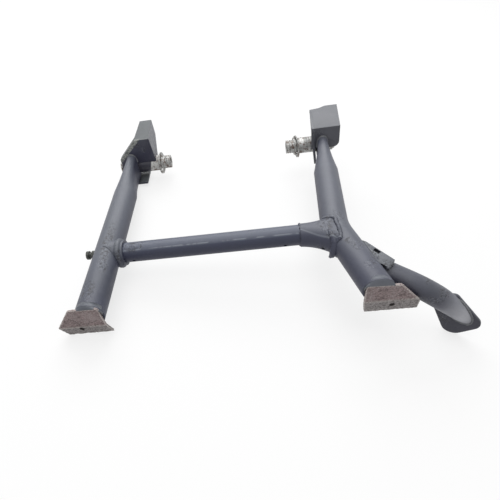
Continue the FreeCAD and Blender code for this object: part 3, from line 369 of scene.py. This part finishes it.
# A near-black disc is painted over each heel hole: painted shade for the shadow inside it.
for hole in heel_holes.values():
    colour = mix(tree, near(tree, place, hole, 2.9, 0.5, (1.0, 0.0, 1.0)), colour, (0.020, 0.016, 0.016))
tree.links.new(colour, shader.inputs["Base Color"])
shader.inputs["Metallic"].default_value = 0.15
tree.links.new(span(tree, pits, 0.3, 0.7, 0.80, 0.52), shader.inputs["Roughness"])
relief(tree, shader, calc(tree, "ADD", pits, calc(tree, "MULTIPLY", grit, 0.5)), 0.9, 0.0009)


def rim_points(mesh, hole):
    """Close points along the sharp edges of a plate, other than those of its hole."""
    shell = bmesh.new()
    shell.from_mesh(mesh)
    points = []
    for edge in shell.edges:
        if edge.is_manifold and edge.calc_face_angle() > sharp_rim:
            start, end = edge.verts[0].co, edge.verts[1].co
            if min((in_stand(start) - hole).length, (in_stand(end) - hole).length) < hole_clear:
                continue
            count = max(1, int((end - start).length / 0.0006))
            points.extend(start.lerp(end, i / count) for i in range(count + 1))
    shell.free()
    return points


def worn_plate(side, low_z):
    """The sole with rounded rims, a ragged lower edge and shallow pits, all cut into the plate."""
    piece = merged_copy(side + "_sole_plate", side + "_sole_worn")
    rims = rim_points(piece.data, heel_holes[side])
    fine = piece.modifiers.new("fine", "REMESH")
    fine.mode = "VOXEL"
    fine.voxel_size = 0.00062
    rounded = piece.modifiers.new("rounded", "SMOOTH")
    rounded.factor = 0.5
    rounded.iterations = 4
    mesh = made_plain(piece)
    nearest_rim = kdtree.KDTree(len(rims))
    for i, point in enumerate(rims):
        nearest_rim.insert(point, i)
    nearest_rim.balance()
    share = mesh.attributes.new("rim", "FLOAT", "POINT")
    for vertex in mesh.vertices:
        away = nearest_rim.find(vertex.co)[2] * 1000
        share.data[vertex.index].value = max(0.0, min(1.0, rim_width - away))
        spot = in_stand(vertex.co)
        sink = max(0.0, field.noise(spot * 0.42)) * 0.50 + max(0.0, field.noise(spot * 1.1)) * 0.22
        moved = vertex.co - vertex.normal * sink * 0.001
        if spot.z < low_z + ragged_height:
            climb = (1.0 - max(0.0, spot.z - low_z) / ragged_height) * deepest_bite
            wave = 0.5 + 0.5 * field.noise(Vector((spot.x * 0.16, 3.1, 0.0)))
            wave += 0.35 * field.noise(Vector((spot.x * 0.6, 8.4, 0.0)))
            moved = moved + lying @ Vector((0, 0, climb * max(0.0, wave))) * 0.001
        vertex.co = moved
    mesh.materials.append(sole_rust)
    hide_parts(side + "_sole_plate")
    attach(piece, "stand")


worn_plate("left", -31.9)
worn_plate("right", -35.7)

# Shade in the heel holes. A flattened, lumpy, near-black ball fills the small hole of each heel:
# painted shade, a dark plug put where the hole lies in shadow.
plug_radius = 2.75
plug_depth = 1.1
plug_y = -2.6


def smooth_mesh(name, shape, finish):
    """A smooth mesh with one finish, from a shape whose faces are first turned outwards."""
    bmesh.ops.recalc_face_normals(shape, faces=shape.faces)
    mesh = bpy.data.meshes.new(name)
    shape.to_mesh(mesh)
    shape.free()
    smooth_faces(mesh)
    mesh.materials.append(finish)
    return mesh


# Near-black finish of the plugs: painted shade for the shadow in the holes.
road_dirt, tree, shader, place = new_finish("road_dirt")
plug_grain = grain(tree, place, 1.4, 4.0, 0.7)
tree.links.new(mix(tree, plug_grain, (0.008, 0.006, 0.006), (0.035, 0.028, 0.026)), shader.inputs["Base Color"])
shader.inputs["Roughness"].default_value = 0.95
relief(tree, shader, plug_grain, 0.8, 0.0004)
for side, hole in heel_holes.items():
    plug = bmesh.new()
    bmesh.ops.create_icosphere(plug, subdivisions=3, radius=1.0)
    for vertex in plug.verts:
        lump = 1.0 + 0.12 * field.noise(vertex.co * 2.5)
        spot = Vector((vertex.co.x * plug_radius * lump, vertex.co.y * plug_depth,
                       vertex.co.z * plug_radius * lump))
        vertex.co = Vector(laid(*(spot + Vector((hole.x, plug_y, hole.z)))))
    piece = placed(side + "_hole_dirt", smooth_mesh(side + "_hole_dirt", plug, road_dirt))
    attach(piece, "stand")

# Foot welds. Weld metal closes the gap between the round end of each leg and the straight top edge
# of its sole, ground off and painted over with the leg. Its paint is a light grey, a painted
# highlight that matches the lit top of the leg.
foot_weld_paint = stand_paint("foot_weld_paint", (0.135, 0.145, 0.170), (0.084, 0.092, 0.112))[0]
leg_radius = 17.0
foot_weld_reach = 16.6
foot_weld_steps = 24


def foot_weld(side, centre_x, top_at, lean=0.0):
    """A lens of weld metal from the tube's end rim down to the sole's top edge."""
    rows = []
    for i in range(foot_weld_steps + 1):
        x = centre_x + foot_weld_reach * (2 * i / foot_weld_steps - 1)
        arc = math.sqrt(max(0.0, leg_radius ** 2 - (x - centre_x) ** 2))
        low = min(top_at(x), arc)
        rise = arc - low
        bump = 0.35 * field.noise(Vector((x * 0.35, 1.7, 0.0)))
        lump = bump * min(1.0, rise)
        rows.append([(x + lean * 6.0, 3.6, arc + 0.04), (x + lean * 2.4, 0.0, arc + 0.16),
                     (x, -2.4, arc - 0.15), (x, -3.3 - 0.2 * bump, low + rise * 0.82 + lump),
                     (x, -4.6, low + rise * 0.40 + lump), (x, -5.4, low + 0.05),
                     (x, -5.2, low - 0.5), (x, -2.0, low - 0.8)])
    fill = bmesh.new()
    rings = [[fill.verts.new(laid(*point)) for point in row] for row in rows]
    for first, second in zip(rings, rings[1:]):
        for k in range(len(first)):
            n = (k + 1) % len(first)
            fill.faces.new((first[k], first[n], second[n], second[k]))
    fill.faces.new(rings[0][::-1])
    fill.faces.new(rings[-1])
    piece = placed(side + "_foot_weld", smooth_mesh(side + "_foot_weld", fill, foot_weld_paint))
    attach(piece, "stand")


foot_weld("left", -157.0, lambda x: 13.3)
foot_weld("right", 157.5, lambda x: 10.0 - 0.055 * (x - 147.0), lean=-0.244)

# Cross tube and its joint at the left leg. The tube is 25.4 mm steel stock with small vent holes,
# set into a short collar on the leg and closed with a fat ring of weld metal; all painted.
cross_y = 96.7
painted_highlight_grey = (0.25, 0.27, 0.31)
shaded_blue = (0.022, 0.025, 0.052)
cross_chips = [
    ((-24.0, 105.5, 8.5), 4.0, (0.03, 1.0, 1.0)),
    ((-118.0, 96.0, 12.0), 12.0, (1.0, 1.0, 1.0)),
]
cross_paint, tree, shader, place, colour = stand_paint(
    "cross_tube_paint", (0.036, 0.040, 0.074), (0.112, 0.127, 0.166), scuff_along=(0.05, 1.0, 1.0),
    chipped=cross_chips)
# The lower part of the tube, below about y = 88 mm, is painted a darker blue: painted shade.
painted_shade_below = step(tree, axes_of(tree, place)[1], 88.4, 86.6)
colour = tint(tree, colour, painted_shade_below, 0.72, shaded_blue)
# A thin pale line along the top of the tube, broken up by noise: a painted highlight.
painted_highlight_stripe = near(tree, place, (0.0, 88.9, 9.9), 0.8, 0.5, (0.0, 1.0, 1.0))
painted_highlight_stripe = calc(tree, "MULTIPLY", painted_highlight_stripe, step(tree, grain(tree, place, 0.06, 3.0), 0.38, 0.55))
colour = tint(tree, colour, painted_highlight_stripe, 0.55, painted_highlight_grey)
tree.links.new(colour, shader.inputs["Base Color"])
dress(cross_paint, "cross_tube")
dress(left_leg_paint, "left_joint_weld")


def ripple_nodes():
    """Ripples of a weld set along a curve. Spacing, size and seed are its inputs."""
    group = bpy.data.node_groups.new("weld_ripples", "GeometryNodeTree")
    face = group.interface
    face.new_socket("Curve", in_out="INPUT", socket_type="NodeSocketGeometry")
    spacing = face.new_socket("Spacing", in_out="INPUT", socket_type="NodeSocketFloat")
    size = face.new_socket("Size", in_out="INPUT", socket_type="NodeSocketFloat")
    seed = face.new_socket("Seed", in_out="INPUT", socket_type="NodeSocketInt")
    coat = face.new_socket("Material", in_out="INPUT", socket_type="NodeSocketMaterial")
    face.new_socket("Mesh", in_out="OUTPUT", socket_type="NodeSocketGeometry")
    spacing.default_value = 0.0015
    size.default_value = 0.0022
    seed.default_value = 1

    def add(kind):
        return group.nodes.new(kind)

    link = group.links.new
    given = add("NodeGroupInput").outputs
    evenly = add("GeometryNodeResampleCurve")
    evenly.mode = "LENGTH"
    link(given["Curve"], evenly.inputs["Curve"])
    link(given["Spacing"], evenly.inputs["Length"])
    drop = add("GeometryNodeMeshUVSphere")
    drop.inputs["Segments"].default_value = 12
    drop.inputs["Rings"].default_value = 8
    link(given["Size"], drop.inputs["Radius"])
    tangent = add("GeometryNodeInputTangent")
    turn = add("FunctionNodeAlignRotationToVector")
    link(tangent.outputs[0], turn.inputs["Vector"])
    uneven = add("FunctionNodeRandomValue")
    uneven.data_type = "FLOAT_VECTOR"
    uneven.inputs["Min"].default_value = (0.78, 0.78, 0.60)
    uneven.inputs["Max"].default_value = (1.15, 1.15, 0.85)
    link(given["Seed"], uneven.inputs["Seed"])
    place_on = add("GeometryNodeInstanceOnPoints")
    link(evenly.outputs["Curve"], place_on.inputs["Points"])
    link(drop.outputs["Mesh"], place_on.inputs["Instance"])
    link(turn.outputs["Rotation"], place_on.inputs["Rotation"])
    link(uneven.outputs["Value"], place_on.inputs["Scale"])
    real = add("GeometryNodeRealizeInstances")
    link(place_on.outputs["Instances"], real.inputs["Geometry"])
    shade = add("GeometryNodeSetShadeSmooth")
    link(real.outputs["Geometry"], shade.inputs["Geometry"])
    coated = add("GeometryNodeSetMaterial")
    link(shade.outputs["Geometry"], coated.inputs["Geometry"])
    link(given["Material"], coated.inputs["Material"])
    out = add("NodeGroupOutput")
    link(coated.outputs["Geometry"], out.inputs["Mesh"])
    return group, {"Spacing": spacing.identifier, "Size": size.identifier, "Seed": seed.identifier,
                   "Material": coat.identifier}


ripples, ripple_inputs = ripple_nodes()


def curve_along(name, points, closed):
    """A curve object and its one spline, smooth along a row of scene points."""
    line = bpy.data.curves.new(name + "_line", "CURVE")
    line.dimensions = "3D"
    spline = line.splines.new("NURBS")
    spline.points.add(len(points) - 1)
    for knot, point in zip(spline.points, points):
        knot.co = (*point, 1.0)
    spline.use_cyclic_u = closed
    spline.use_endpoint_u = not closed
    spline.order_u = 3
    return placed(name + "_line", line), spline


def mesh_of_curve(name, carrier):
    """The mesh that a curve object makes. The object and its curve are removed."""
    bpy.context.view_layer.update()
    mesh = bpy.data.meshes.new_from_object(carrier.evaluated_get(bpy.context.evaluated_depsgraph_get()))
    mesh.name = name
    line = carrier.data
    bpy.data.objects.remove(carrier)
    bpy.data.curves.remove(line)
    return mesh


def weld_bead(name, points, size, finish, closed=True, seed=1):
    """A rippled bead along a row of scene points, as one plain mesh that rides on the stand."""
    carrier = curve_along(name, points, closed)[0]
    modifier = carrier.modifiers.new("ripples", "NODES")
    modifier.node_group = ripples
    modifier[ripple_inputs["Size"]] = size
    modifier[ripple_inputs["Spacing"]] = size * 0.55
    modifier[ripple_inputs["Seed"]] = seed
    modifier[ripple_inputs["Material"]] = finish
    mesh = mesh_of_curve(name, carrier)
    if not mesh.materials:
        mesh.materials.append(finish)
    bead = placed(name, mesh)
    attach(bead, "stand")


def fat_weld(name, points, thick, finish, closed=False, seed=1.0):
    """A smooth, lumpy roll of weld metal along a row of points of the stand."""
    carrier, spline = curve_along(name, [laid(*point) for point in points], closed)
    carrier.data.bevel_depth = 0.001
    carrier.data.bevel_resolution = 6
    carrier.data.use_fill_caps = True
    spline.resolution_u = 6
    last = len(points) - 1
    for i, knot in enumerate(spline.points):
        taper = 1.0 if closed else min(1.0, 0.45 + 0.3 * min(i, last - i))
        knot.radius = thick * taper * (1.0 + 0.16 * field.noise(Vector((i * 0.9, seed, 0.0))))
    mesh = mesh_of_curve(name, carrier)
    roll = bmesh.new()
    roll.from_mesh(mesh)
    bmesh.ops.remove_doubles(roll, verts=roll.verts, dist=0.000005)
    bmesh.ops.recalc_face_normals(roll, faces=roll.faces)
    roll.to_mesh(mesh)
    roll.free()
    for vertex in mesh.vertices:
        lump = 0.45 * field.noise(in_stand(vertex.co) * 0.5)
        vertex.co += vertex.normal * lump * 0.001
    smooth_faces(mesh)
    mesh.materials.clear()
    mesh.materials.append(finish)
    piece = placed(name, mesh)
    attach(piece, "stand")


def ring(centre, axis, radius, count, waver=0.0):
    """Points of a ring round a place of the stand, in the stand's millimetres."""
    axis = Vector(axis).normalized()
    start = axis.orthogonal().normalized()
    side = axis.cross(start)
    points = []
    for i in range(count):
        a = 2 * math.pi * i / count
        drift = axis * waver * field.noise(Vector((i * 0.8, 2.0, radius)))
        points.append(Vector(centre) + drift + (start * math.cos(a) + side * math.sin(a)) * radius)
    return points


joint_paint = stand_paint("left_joint_paint", (0.046, 0.049, 0.076), (0.140, 0.153, 0.170),
                          chipped=[((-134.0, 84.0, 8.0), 8.0, (1.0, 1.0, 1.0))])[0]
fat_weld("left_joint_ring", ring((-139.4, cross_y, 0.0), (1, 0, 0), 14.7, 30), 4.4, joint_paint, closed=True)


# Branch on the right leg. A flared pressed socket, coped and welded to the leg; the cross tube
# slips into its round end, where a thin ragged seam goes round. The flare has a long crease.
def surface(name):
    """A solid's surface, to measure from."""
    mesh = nodes[name].data
    return BVHTree.FromPolygons([v.co for v in mesh.vertices], [p.vertices for p in mesh.polygons])


def seam(edge_of, lies_on, centre, axis, keep=None):
    """The outer line along which one piece meets another, in order round an axis. keep picks
    the scene points that may belong to it."""
    reach = 0.0003
    bins = 40
    widest_gap = 0.2
    skin = surface(lies_on)
    axis = (lying @ Vector(axis)).normalized()
    centre = laid(*centre)
    start = axis.orthogonal().normalized()
    side = axis.cross(start)
    best = {}
    for vertex in nodes[edge_of].data.vertices:
        touched = skin.find_nearest(vertex.co, reach)
        if touched[0] is None or (keep and not keep(vertex.co)):
            continue
        away = vertex.co - centre
        across, up = away.dot(start), away.dot(side)
        key = int((math.atan2(up, across) / (2 * math.pi) + 0.5) * bins)
        far = math.hypot(across, up)
        if key not in best or far > best[key][0]:
            best[key] = (far, vertex.co.copy())
    keys = sorted(best)
    gaps = [((keys[(i + 1) % len(keys)] - key) % bins or bins, i) for i, key in enumerate(keys)]
    widest, at = max(gaps)
    closed = widest <= bins * widest_gap
    if not closed:
        keys = keys[at + 1:] + keys[:at + 1]
    points = [best[key][1] for key in keys]
    smooth = []
    for i, point in enumerate(points):
        before = points[i - 1] if closed or i > 0 else point
        after = points[(i + 1) % len(points)] if closed or i + 1 < len(points) else point
        smooth.append((before + point * 2 + after) / 4)
    return smooth, closed


crease_slope = 0.56
crease_at = 140.6
branch_chips = [
    ((117.6, 95.0, 15.7), 9.0, (1.0, 0.6, 1.0)),
    ((122.0, 76.0, 13.0), 6.0, (1.0, 1.0, 1.0)),
    ((110.0, 75.0, -6.0), 7.0, (1.0, 1.0, 1.0)),
]
branch_paint, tree, shader, place, colour = stand_paint(
    "branch_paint", (0.036, 0.039, 0.068), (0.100, 0.109, 0.136), scuff_along=(0.05, 1.0, 1.0),
    chipped=branch_chips)
across, along, up = axes_of(tree, place)
crease = calc(tree, "ADD", along, calc(tree, "MULTIPLY", across, crease_slope))
# Below the flare's crease line the paint is darker: painted shade.
painted_shade_below = step(tree, crease, crease_at, crease_at - 1.8)
colour = tint(tree, colour, painted_shade_below, 0.50, (0.026, 0.028, 0.056))
# A thin pale line just above the crease, on the upper side: a painted highlight.
painted_crease_highlight = calc(tree, "MULTIPLY", step(tree, crease, crease_at - 1.0, crease_at - 0.2),
             step(tree, crease, crease_at + 1.6, crease_at + 0.6))
painted_crease_highlight = calc(tree, "MULTIPLY", painted_crease_highlight, step(tree, up, 3.0, 6.0))
colour = tint(tree, colour, painted_crease_highlight, 0.35, (0.24, 0.26, 0.30))
tree.links.new(colour, shader.inputs["Base Color"])
dress(branch_paint, "cross_tube_branch")
socket_end = ring((88.4, cross_y, 0.0), (1, 0, 0), 13.3, 40, waver=2.0)
weld_bead("branch_seam", [laid(*point) for point in socket_end], 0.0013, branch_paint, seed=4)
saddle, round_it = seam("cross_tube_branch", "right_leg_tube", (122, 92, 0), (1, 0, 0))
weld_bead("branch_saddle", saddle, 0.0028, branch_paint, closed=round_it, seed=7)
heel_row = [(120.0, 84.0, 14.6), (122.4, 77.5, 13.6), (124.4, 72.0, 11.2), (125.0, 67.4, 7.4),
            (124.4, 64.4, 2.6), (123.0, 63.0, -2.8), (121.6, 63.6, -8.0), (120.0, 66.0, -12.5)]
fat_weld("branch_heel_weld", heel_row, 4.7, branch_paint, seed=5.0)


# Pivot brackets. Each is folded from 3.5 mm plate round the pressed end of its leg, which passes
# through the front wall and is welded there. Edges are rolled over a little by the folding press.
# On the left one, the inner flank is painted a lighter mottled grey, as painted light on that
# side, and a mottled pale strip runs down its sloping corner.
def folded_plate(node, name, finish, roll):
    """The solid with the rolled edges of pressed plate in place of knife-sharp ones."""
    piece = merged_copy(node, name)
    rolled = piece.modifiers.new("rolled", "BEVEL")
    rolled.width = roll
    rolled.segments = 3
    rolled.limit_method = "ANGLE"
    rolled.angle_limit = math.radians(32)
    mesh = made_plain(piece)
    mesh.set_sharp_from_angle(angle=math.radians(35))
    mesh.materials.append(finish)
    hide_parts(node)
    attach(piece, "stand")


corner_across = 0.677
corner_up = 0.736
corner_at = 128.2
left_bracket_chips = [
    ((-144.0, 309.0, 36.0), 6.0, (0.8, 1.0, 1.6)),
    ((-134.0, 309.0, 27.0), 5.0, (1.0, 1.0, 1.0)),
]
left_bracket_paint, tree, shader, place, colour = stand_paint(
    "left_bracket_paint", (0.053, 0.054, 0.084), (0.118, 0.132, 0.126), chipped=left_bracket_chips)
across, along, up = axes_of(tree, place)
slant = calc(tree, "SUBTRACT", calc(tree, "MULTIPLY", across, corner_across),
             calc(tree, "MULTIPLY", up, corner_up))
strip = step(tree, calc(tree, "ADD", slant, corner_at), 3.9, 2.9)
strip = calc(tree, "MULTIPLY", strip, step(tree, along, 313.0, 311.0))
mottled = step(tree, grain(tree, place, 0.5, 5.0, 0.75), 0.4, 0.6)
mottle = mix(tree, mottled, (0.075, 0.085, 0.080), (0.36, 0.37, 0.35))
colour = tint(tree, colour, strip, 0.9, mottle)
# Faces turned towards +X, on the inner flank, are painted a lighter mottled grey: painted light.
painted_light_flank = step(tree, facing(tree)[0], 0.72, 0.86)
painted_light_flank = calc(tree, "MULTIPLY", painted_light_flank, step(tree, along, 309.5, 311.0))
blotches = step(tree, grain(tree, place, 0.22, 6.0, 0.75), 0.36, 0.66)
painted_light_mottle = mix(tree, blotches, (0.115, 0.120, 0.138), (0.255, 0.260, 0.282))
colour = tint(tree, colour, painted_light_flank, 0.7, painted_light_mottle)
tree.links.new(colour, shader.inputs["Base Color"])
shader.inputs["Specular IOR Level"].default_value = 0.30
right_bracket_chips = [
    ((143.5, 293.0, 27.0), 5.5, (1.0, 1.0, 1.3)),
    ((134.0, 292.8, 30.0), 4.0, (1.0, 1.0, 1.0)),
]
right_bracket_paint = stand_paint("right_bracket_paint", (0.078, 0.081, 0.100), (0.134, 0.141, 0.155),
                                  chipped=right_bracket_chips)[0]
folded_plate("left_bracket", "left_bracket_folded", left_bracket_paint, 0.0008)
folded_plate("right_bracket", "right_bracket_folded", right_bracket_paint, 0.0008)
rubbed_weld = stand_paint("rubbed_weld", (0.090, 0.094, 0.110), (0.200, 0.208, 0.215), all_over=0.2)[0]
for side, front_y, leg_x in (("left", 309.0, -157.0), ("right", 293.0, 148.4)):
    around, round_it = seam(side + "_bracket", side + "_leg_tube", (leg_x, front_y, 0), (0, 1, 0),
                            keep=lambda point, y=front_y: abs(in_stand(point).y - y) < 0.8)
    weld_bead(side + "_bracket_weld", around, 0.0019, rubbed_weld, closed=round_it, seed=17)

# Pivot bosses, sleeves, washers and the loose ring. Turned steel without paint, dulled and spotted
# with brown rust; the left boss is near black beside its leg. The sleeves turn in the bosses.
rust_brown = (0.130, 0.088, 0.072)
sleeve_steel, tree, shader, place = new_finish("sleeve_steel")
spots = grain(tree, place, 0.17, 6.0, 0.72)
fine = grain(tree, place, 1.3, 3.0)
rings_of_grime = grain(tree, place, 0.85, 2.0, 0.5, (1.0, 0.05, 0.05))
wear, rounded = edge_wear(tree, 0.0007)
colour = mix(tree, step(tree, rings_of_grime, 0.38, 0.62), (0.22, 0.225, 0.22), (0.54, 0.54, 0.525))
colour = mix(tree, step(tree, spots, 0.50, 0.58), colour, rust_brown)
colour = tint(tree, colour, step(tree, fine, 0.56, 0.66), 0.65, (0.085, 0.080, 0.078))
colour = tint(tree, colour, wear, 0.6, (0.66, 0.66, 0.64))
tree.links.new(colour, shader.inputs["Base Color"])
shader.inputs["Metallic"].default_value = 0.45
tree.links.new(span(tree, spots, 0.45, 0.65, 0.36, 0.75), shader.inputs["Roughness"])
relief(tree, shader, calc(tree, "ADD", fine, rings_of_grime), 0.6, 0.0003, rounded)
dress(sleeve_steel, "left_pivot_sleeve", "right_pivot_sleeve", "left_sleeve_washer", "right_sleeve_washer")
dress(sleeve_steel, "right_sleeve_ring", "right_pivot_boss")

dark_from = -126.2
dark_to = -127.4
boss_finish, tree, shader, place = new_finish("left_boss_finish")
spots = grain(tree, place, 0.2, 6.0, 0.72)
across, along, up = axes_of(tree, place)
tilt = calc(tree, "ADD", across, calc(tree, "MULTIPLY", up, -0.25))
tilt = calc(tree, "ADD", tilt, calc(tree, "MULTIPLY", spots, 3.0))
dark_share = step(tree, tilt, dark_from, dark_to)
bare = mix(tree, step(tree, spots, 0.48, 0.58), (0.62, 0.62, 0.60), (0.16, 0.12, 0.10))
colour = mix(tree, dark_share, bare, mix(tree, spots, (0.024, 0.024, 0.036), (0.046, 0.046, 0.062)))
tree.links.new(colour, shader.inputs["Base Color"])
tree.links.new(span(tree, dark_share, 0.0, 1.0, 0.5, 0.4), shader.inputs["Roughness"])
relief(tree, shader, spots, 0.5, 0.0003)
dress(boss_finish, "left_pivot_boss")

# Lever, its foot pad and the gusset. The lever is a bent 25.4 mm tube welded to the right leg; its
# mitred end carries a flat pad for the boot. Near the pad its paint is lighter, partly rubbed and
# partly a painted highlight. The gusset ties its root.
lever_chips = [
    ((211.5, 11.0, -6.5), 5.0, (1.0, 1.0, 1.0)),
    ((212.7, -1.9, -27.9), 11.0, (0.7, 1.0, 1.3)),
    ((230.9, 4.2, -20.9), 9.0, (1.0, 1.0, 1.4)),
    ((190.0, 14.0, -14.0), 9.0, (1.0, 1.0, 1.0)),
]
lever_paint, tree, shader, place, colour = stand_paint(
    "lever_paint", (0.044, 0.045, 0.072), (0.115, 0.122, 0.142), scuff_along=(0.12, 1.0, 1.0),
    chipped=lever_chips)
# Lighter paint round the pad: partly rubbed paint, partly a painted highlight.
rubbed = near(tree, place, (249.0, -4.0, -50.0), 17.0, 13.0, (0.9, 1.0, 0.8))
cloud = grain(tree, place, 0.11, 5.0, 0.65)
rubbed = calc(tree, "MULTIPLY", rubbed, span(tree, cloud, 0.3, 0.6, 0.75, 1.0))
colour = tint(tree, colour, rubbed, 0.80, (0.345, 0.350, 0.385))
# A brighter spot at the lever's tip: a painted highlight.
painted_tip_highlight = near(tree, place, (257.0, -6.0, -58.0), 8.0, 7.0, (0.8, 1.0, 0.6))
colour = tint(tree, colour, painted_tip_highlight, 0.6, (0.52, 0.525, 0.56))
tree.links.new(colour, shader.inputs["Base Color"])
dress(lever_paint, "lever_tube")
pad_paint = stand_paint("foot_pad_paint", (0.032, 0.032, 0.050), (0.070, 0.076, 0.090), dust=0.8,
                        chipped=[((240.0, 6.0, -75.0), 8.0, (1.0, 1.0, 1.0))])[0]
folded_plate("lever_foot_pad", "lever_foot_pad_pressed", pad_paint, 0.0009)
gusset_chips = [
    ((163.0, 42.0, 9.0), 6.0, (1.0, 0.6, 1.0)),
    ((172.0, 26.0, 9.0), 6.0, (1.0, 1.0, 1.0)),
    ((158.0, 60.0, 9.0), 6.0, (1.0, 1.0, 1.0)),
]
gusset_paint = stand_paint("gusset_paint", (0.048, 0.051, 0.068), (0.132, 0.142, 0.158),
                           chipped=gusset_chips)[0]
folded_plate("lever_gusset", "lever_gusset_cut", gusset_paint, 0.0007)
mitre, round_it = seam("lever_tube", "lever_foot_pad", (257.2, -0.5, -58), (-0.471, -0.881, 0.050))
weld_bead("lever_pad_weld", mitre, 0.0014, rubbed_weld, closed=round_it, seed=13)
root, round_it = seam("lever_tube", "right_leg_tube", (170, 33, -6), (1, -0.5, -0.2))
weld_bead("lever_root_weld", root, 0.0022, right_leg_paint, closed=round_it, seed=11)
along_leg = [(152.0, 66.0, 10.0), (154.5, 56.0, 10.2), (158.0, 45.0, 10.2), (161.5, 34.0, 10.2),
             (164.5, 26.0, 10.0)]
weld_bead("gusset_leg_weld", [laid(*point) for point in along_leg], 0.0014, gusset_paint, closed=False,
          seed=19)
over_lever = [(171.5, 20.5, 7.0), (175.0, 24.0, 7.4), (178.5, 27.5, 7.0)]
weld_bead("gusset_lever_weld", [laid(*point) for point in over_lever], 0.0019, gusset_paint, closed=False,
          seed=23)

# A dark sheet under the gusset's slot, so that the slot reads dark: painted shade, near black,
# put where the slot lies in shadow.
wall_low = 2.6
wall_top = 4.2
wall_corners = [(159.5, 46.0), (170.5, 36.0), (176.0, 40.0), (171.0, 48.5), (163.0, 56.0)]
slot_grime = stand_paint("slot_grime", (0.010, 0.011, 0.014), (0.020, 0.022, 0.024), dust=0.4)[0]
under = bmesh.new()
low_face = [under.verts.new(laid(x, y, wall_low)) for x, y in wall_corners]
top_face = [under.verts.new(laid(x, y, wall_top)) for x, y in wall_corners]
under.faces.new(low_face[::-1])
under.faces.new(top_face)
for k in range(len(wall_corners)):
    n = (k + 1) % len(wall_corners)
    under.faces.new((low_face[k], low_face[n], top_face[n], top_face[k]))
bmesh.ops.recalc_face_normals(under, faces=under.faces)
bmesh.ops.bevel(under, geom=list(under.edges), offset=0.0003, segments=2, affect="EDGES", profile=0.5)
slot_shade_mesh = bpy.data.meshes.new("gusset_under_wall")
under.to_mesh(slot_shade_mesh)
under.free()
slot_shade_mesh.materials.append(slot_grime)
slot_shade_sheet = placed("gusset_under_wall", slot_shade_mesh)
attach(slot_shade_sheet, "stand")

# Spring peg. A short turned stub welded to the left leg's outer side, with a groove for the return
# spring's hook. Rusted dark, with a little bare metal on its head.
peg_rust, tree, shader, place = new_finish("peg_rust")
spots = grain(tree, place, 0.35, 6.0, 0.7)
wear, rounded = edge_wear(tree, 0.0008)
colour = mix(tree, step(tree, spots, 0.40, 0.62), (0.030, 0.032, 0.030), (0.085, 0.088, 0.080))
colour = tint(tree, colour, wear, step(tree, spots, 0.45, 0.6), (0.40, 0.41, 0.39))
tree.links.new(colour, shader.inputs["Base Color"])
shader.inputs["Metallic"].default_value = 0.3
tree.links.new(span(tree, spots, 0.3, 0.7, 0.5, 0.7), shader.inputs["Roughness"])
relief(tree, shader, spots, 0.7, 0.0005, rounded)
dress(peg_rust, "spring_peg")


# Floor and light. A pale floor, lit up a little for the camera alone, that keeps the stand's faint
# shadow; a broad soft window behind the stand, a second soft lamp overhead, and some even light
# from all round.
def seen_by_camera(tree):
    """High for what the camera sees itself, in a reflection or through something clear."""
    path = tree.nodes.new("ShaderNodeLightPath")
    seen = calc(tree, "MAXIMUM", path.outputs["Is Camera Ray"], path.outputs["Is Glossy Ray"])
    return calc(tree, "MAXIMUM", seen, path.outputs["Is Transmission Ray"])


floor_mesh = bpy.data.meshes.new("floor")
floor_mesh.from_pydata([(-5, -5, 0), (5, -5, 0), (5, 8, 0), (-5, 8, 0)], [], [(0, 1, 2, 3)])
floor = placed("floor", floor_mesh)
pale = bpy.data.materials.new("pale_floor")
pale.use_nodes = True
tree = pale.node_tree
tree.nodes.clear()
cloudy = tree.nodes.new("ShaderNodeTexNoise")
cloudy.inputs["Scale"].default_value = 3.0
diffuse = tree.nodes.new("ShaderNodeBsdfDiffuse")
put(tree, diffuse.inputs["Color"], mix(tree, cloudy.outputs["Fac"], (0.84, 0.84, 0.84), (0.88, 0.88, 0.88)))
glow = tree.nodes.new("ShaderNodeEmission")
glow.inputs["Color"].default_value = (1, 1, 1, 1)
glow.inputs["Strength"].default_value = 1.0
both = tree.nodes.new("ShaderNodeMixShader")
put(tree, both.inputs[0], calc(tree, "MULTIPLY", seen_by_camera(tree), 0.75))
tree.links.new(diffuse.outputs[0], both.inputs[1])
tree.links.new(glow.outputs[0], both.inputs[2])
out = tree.nodes.new("ShaderNodeOutputMaterial")
tree.links.new(both.outputs[0], out.inputs["Surface"])
floor_mesh.materials.append(pale)

world = bpy.data.worlds.new("studio")
scene.world = world
world.use_nodes = True
tree = world.node_tree
background = tree.nodes["Background"]
background.inputs["Color"].default_value = (1, 1, 1, 1)
tree.links.new(span(tree, seen_by_camera(tree), 0.0, 1.0, 0.35, 1.0), background.inputs["Strength"])


def lamp(name, wide, high, power, place_at, target):
    """A soft rectangular lamp turned to a point."""
    data = bpy.data.lights.new(name, "AREA")
    data.shape = "RECTANGLE"
    data.size = wide
    data.size_y = high
    data.energy = power
    item = placed(name, data)
    item.location = place_at
    item.rotation_euler = (Vector(target) - Vector(place_at)).to_track_quat("-Z", "Y").to_euler()


lamp("window", 2.6, 1.4, 42.0, (-0.4, 1.8, 1.7), (0, 0.05, 0))
lamp("overhead", 2.0, 1.6, 26.0, (-0.2, 0.1, 2.0), (0, 0.0, 0))
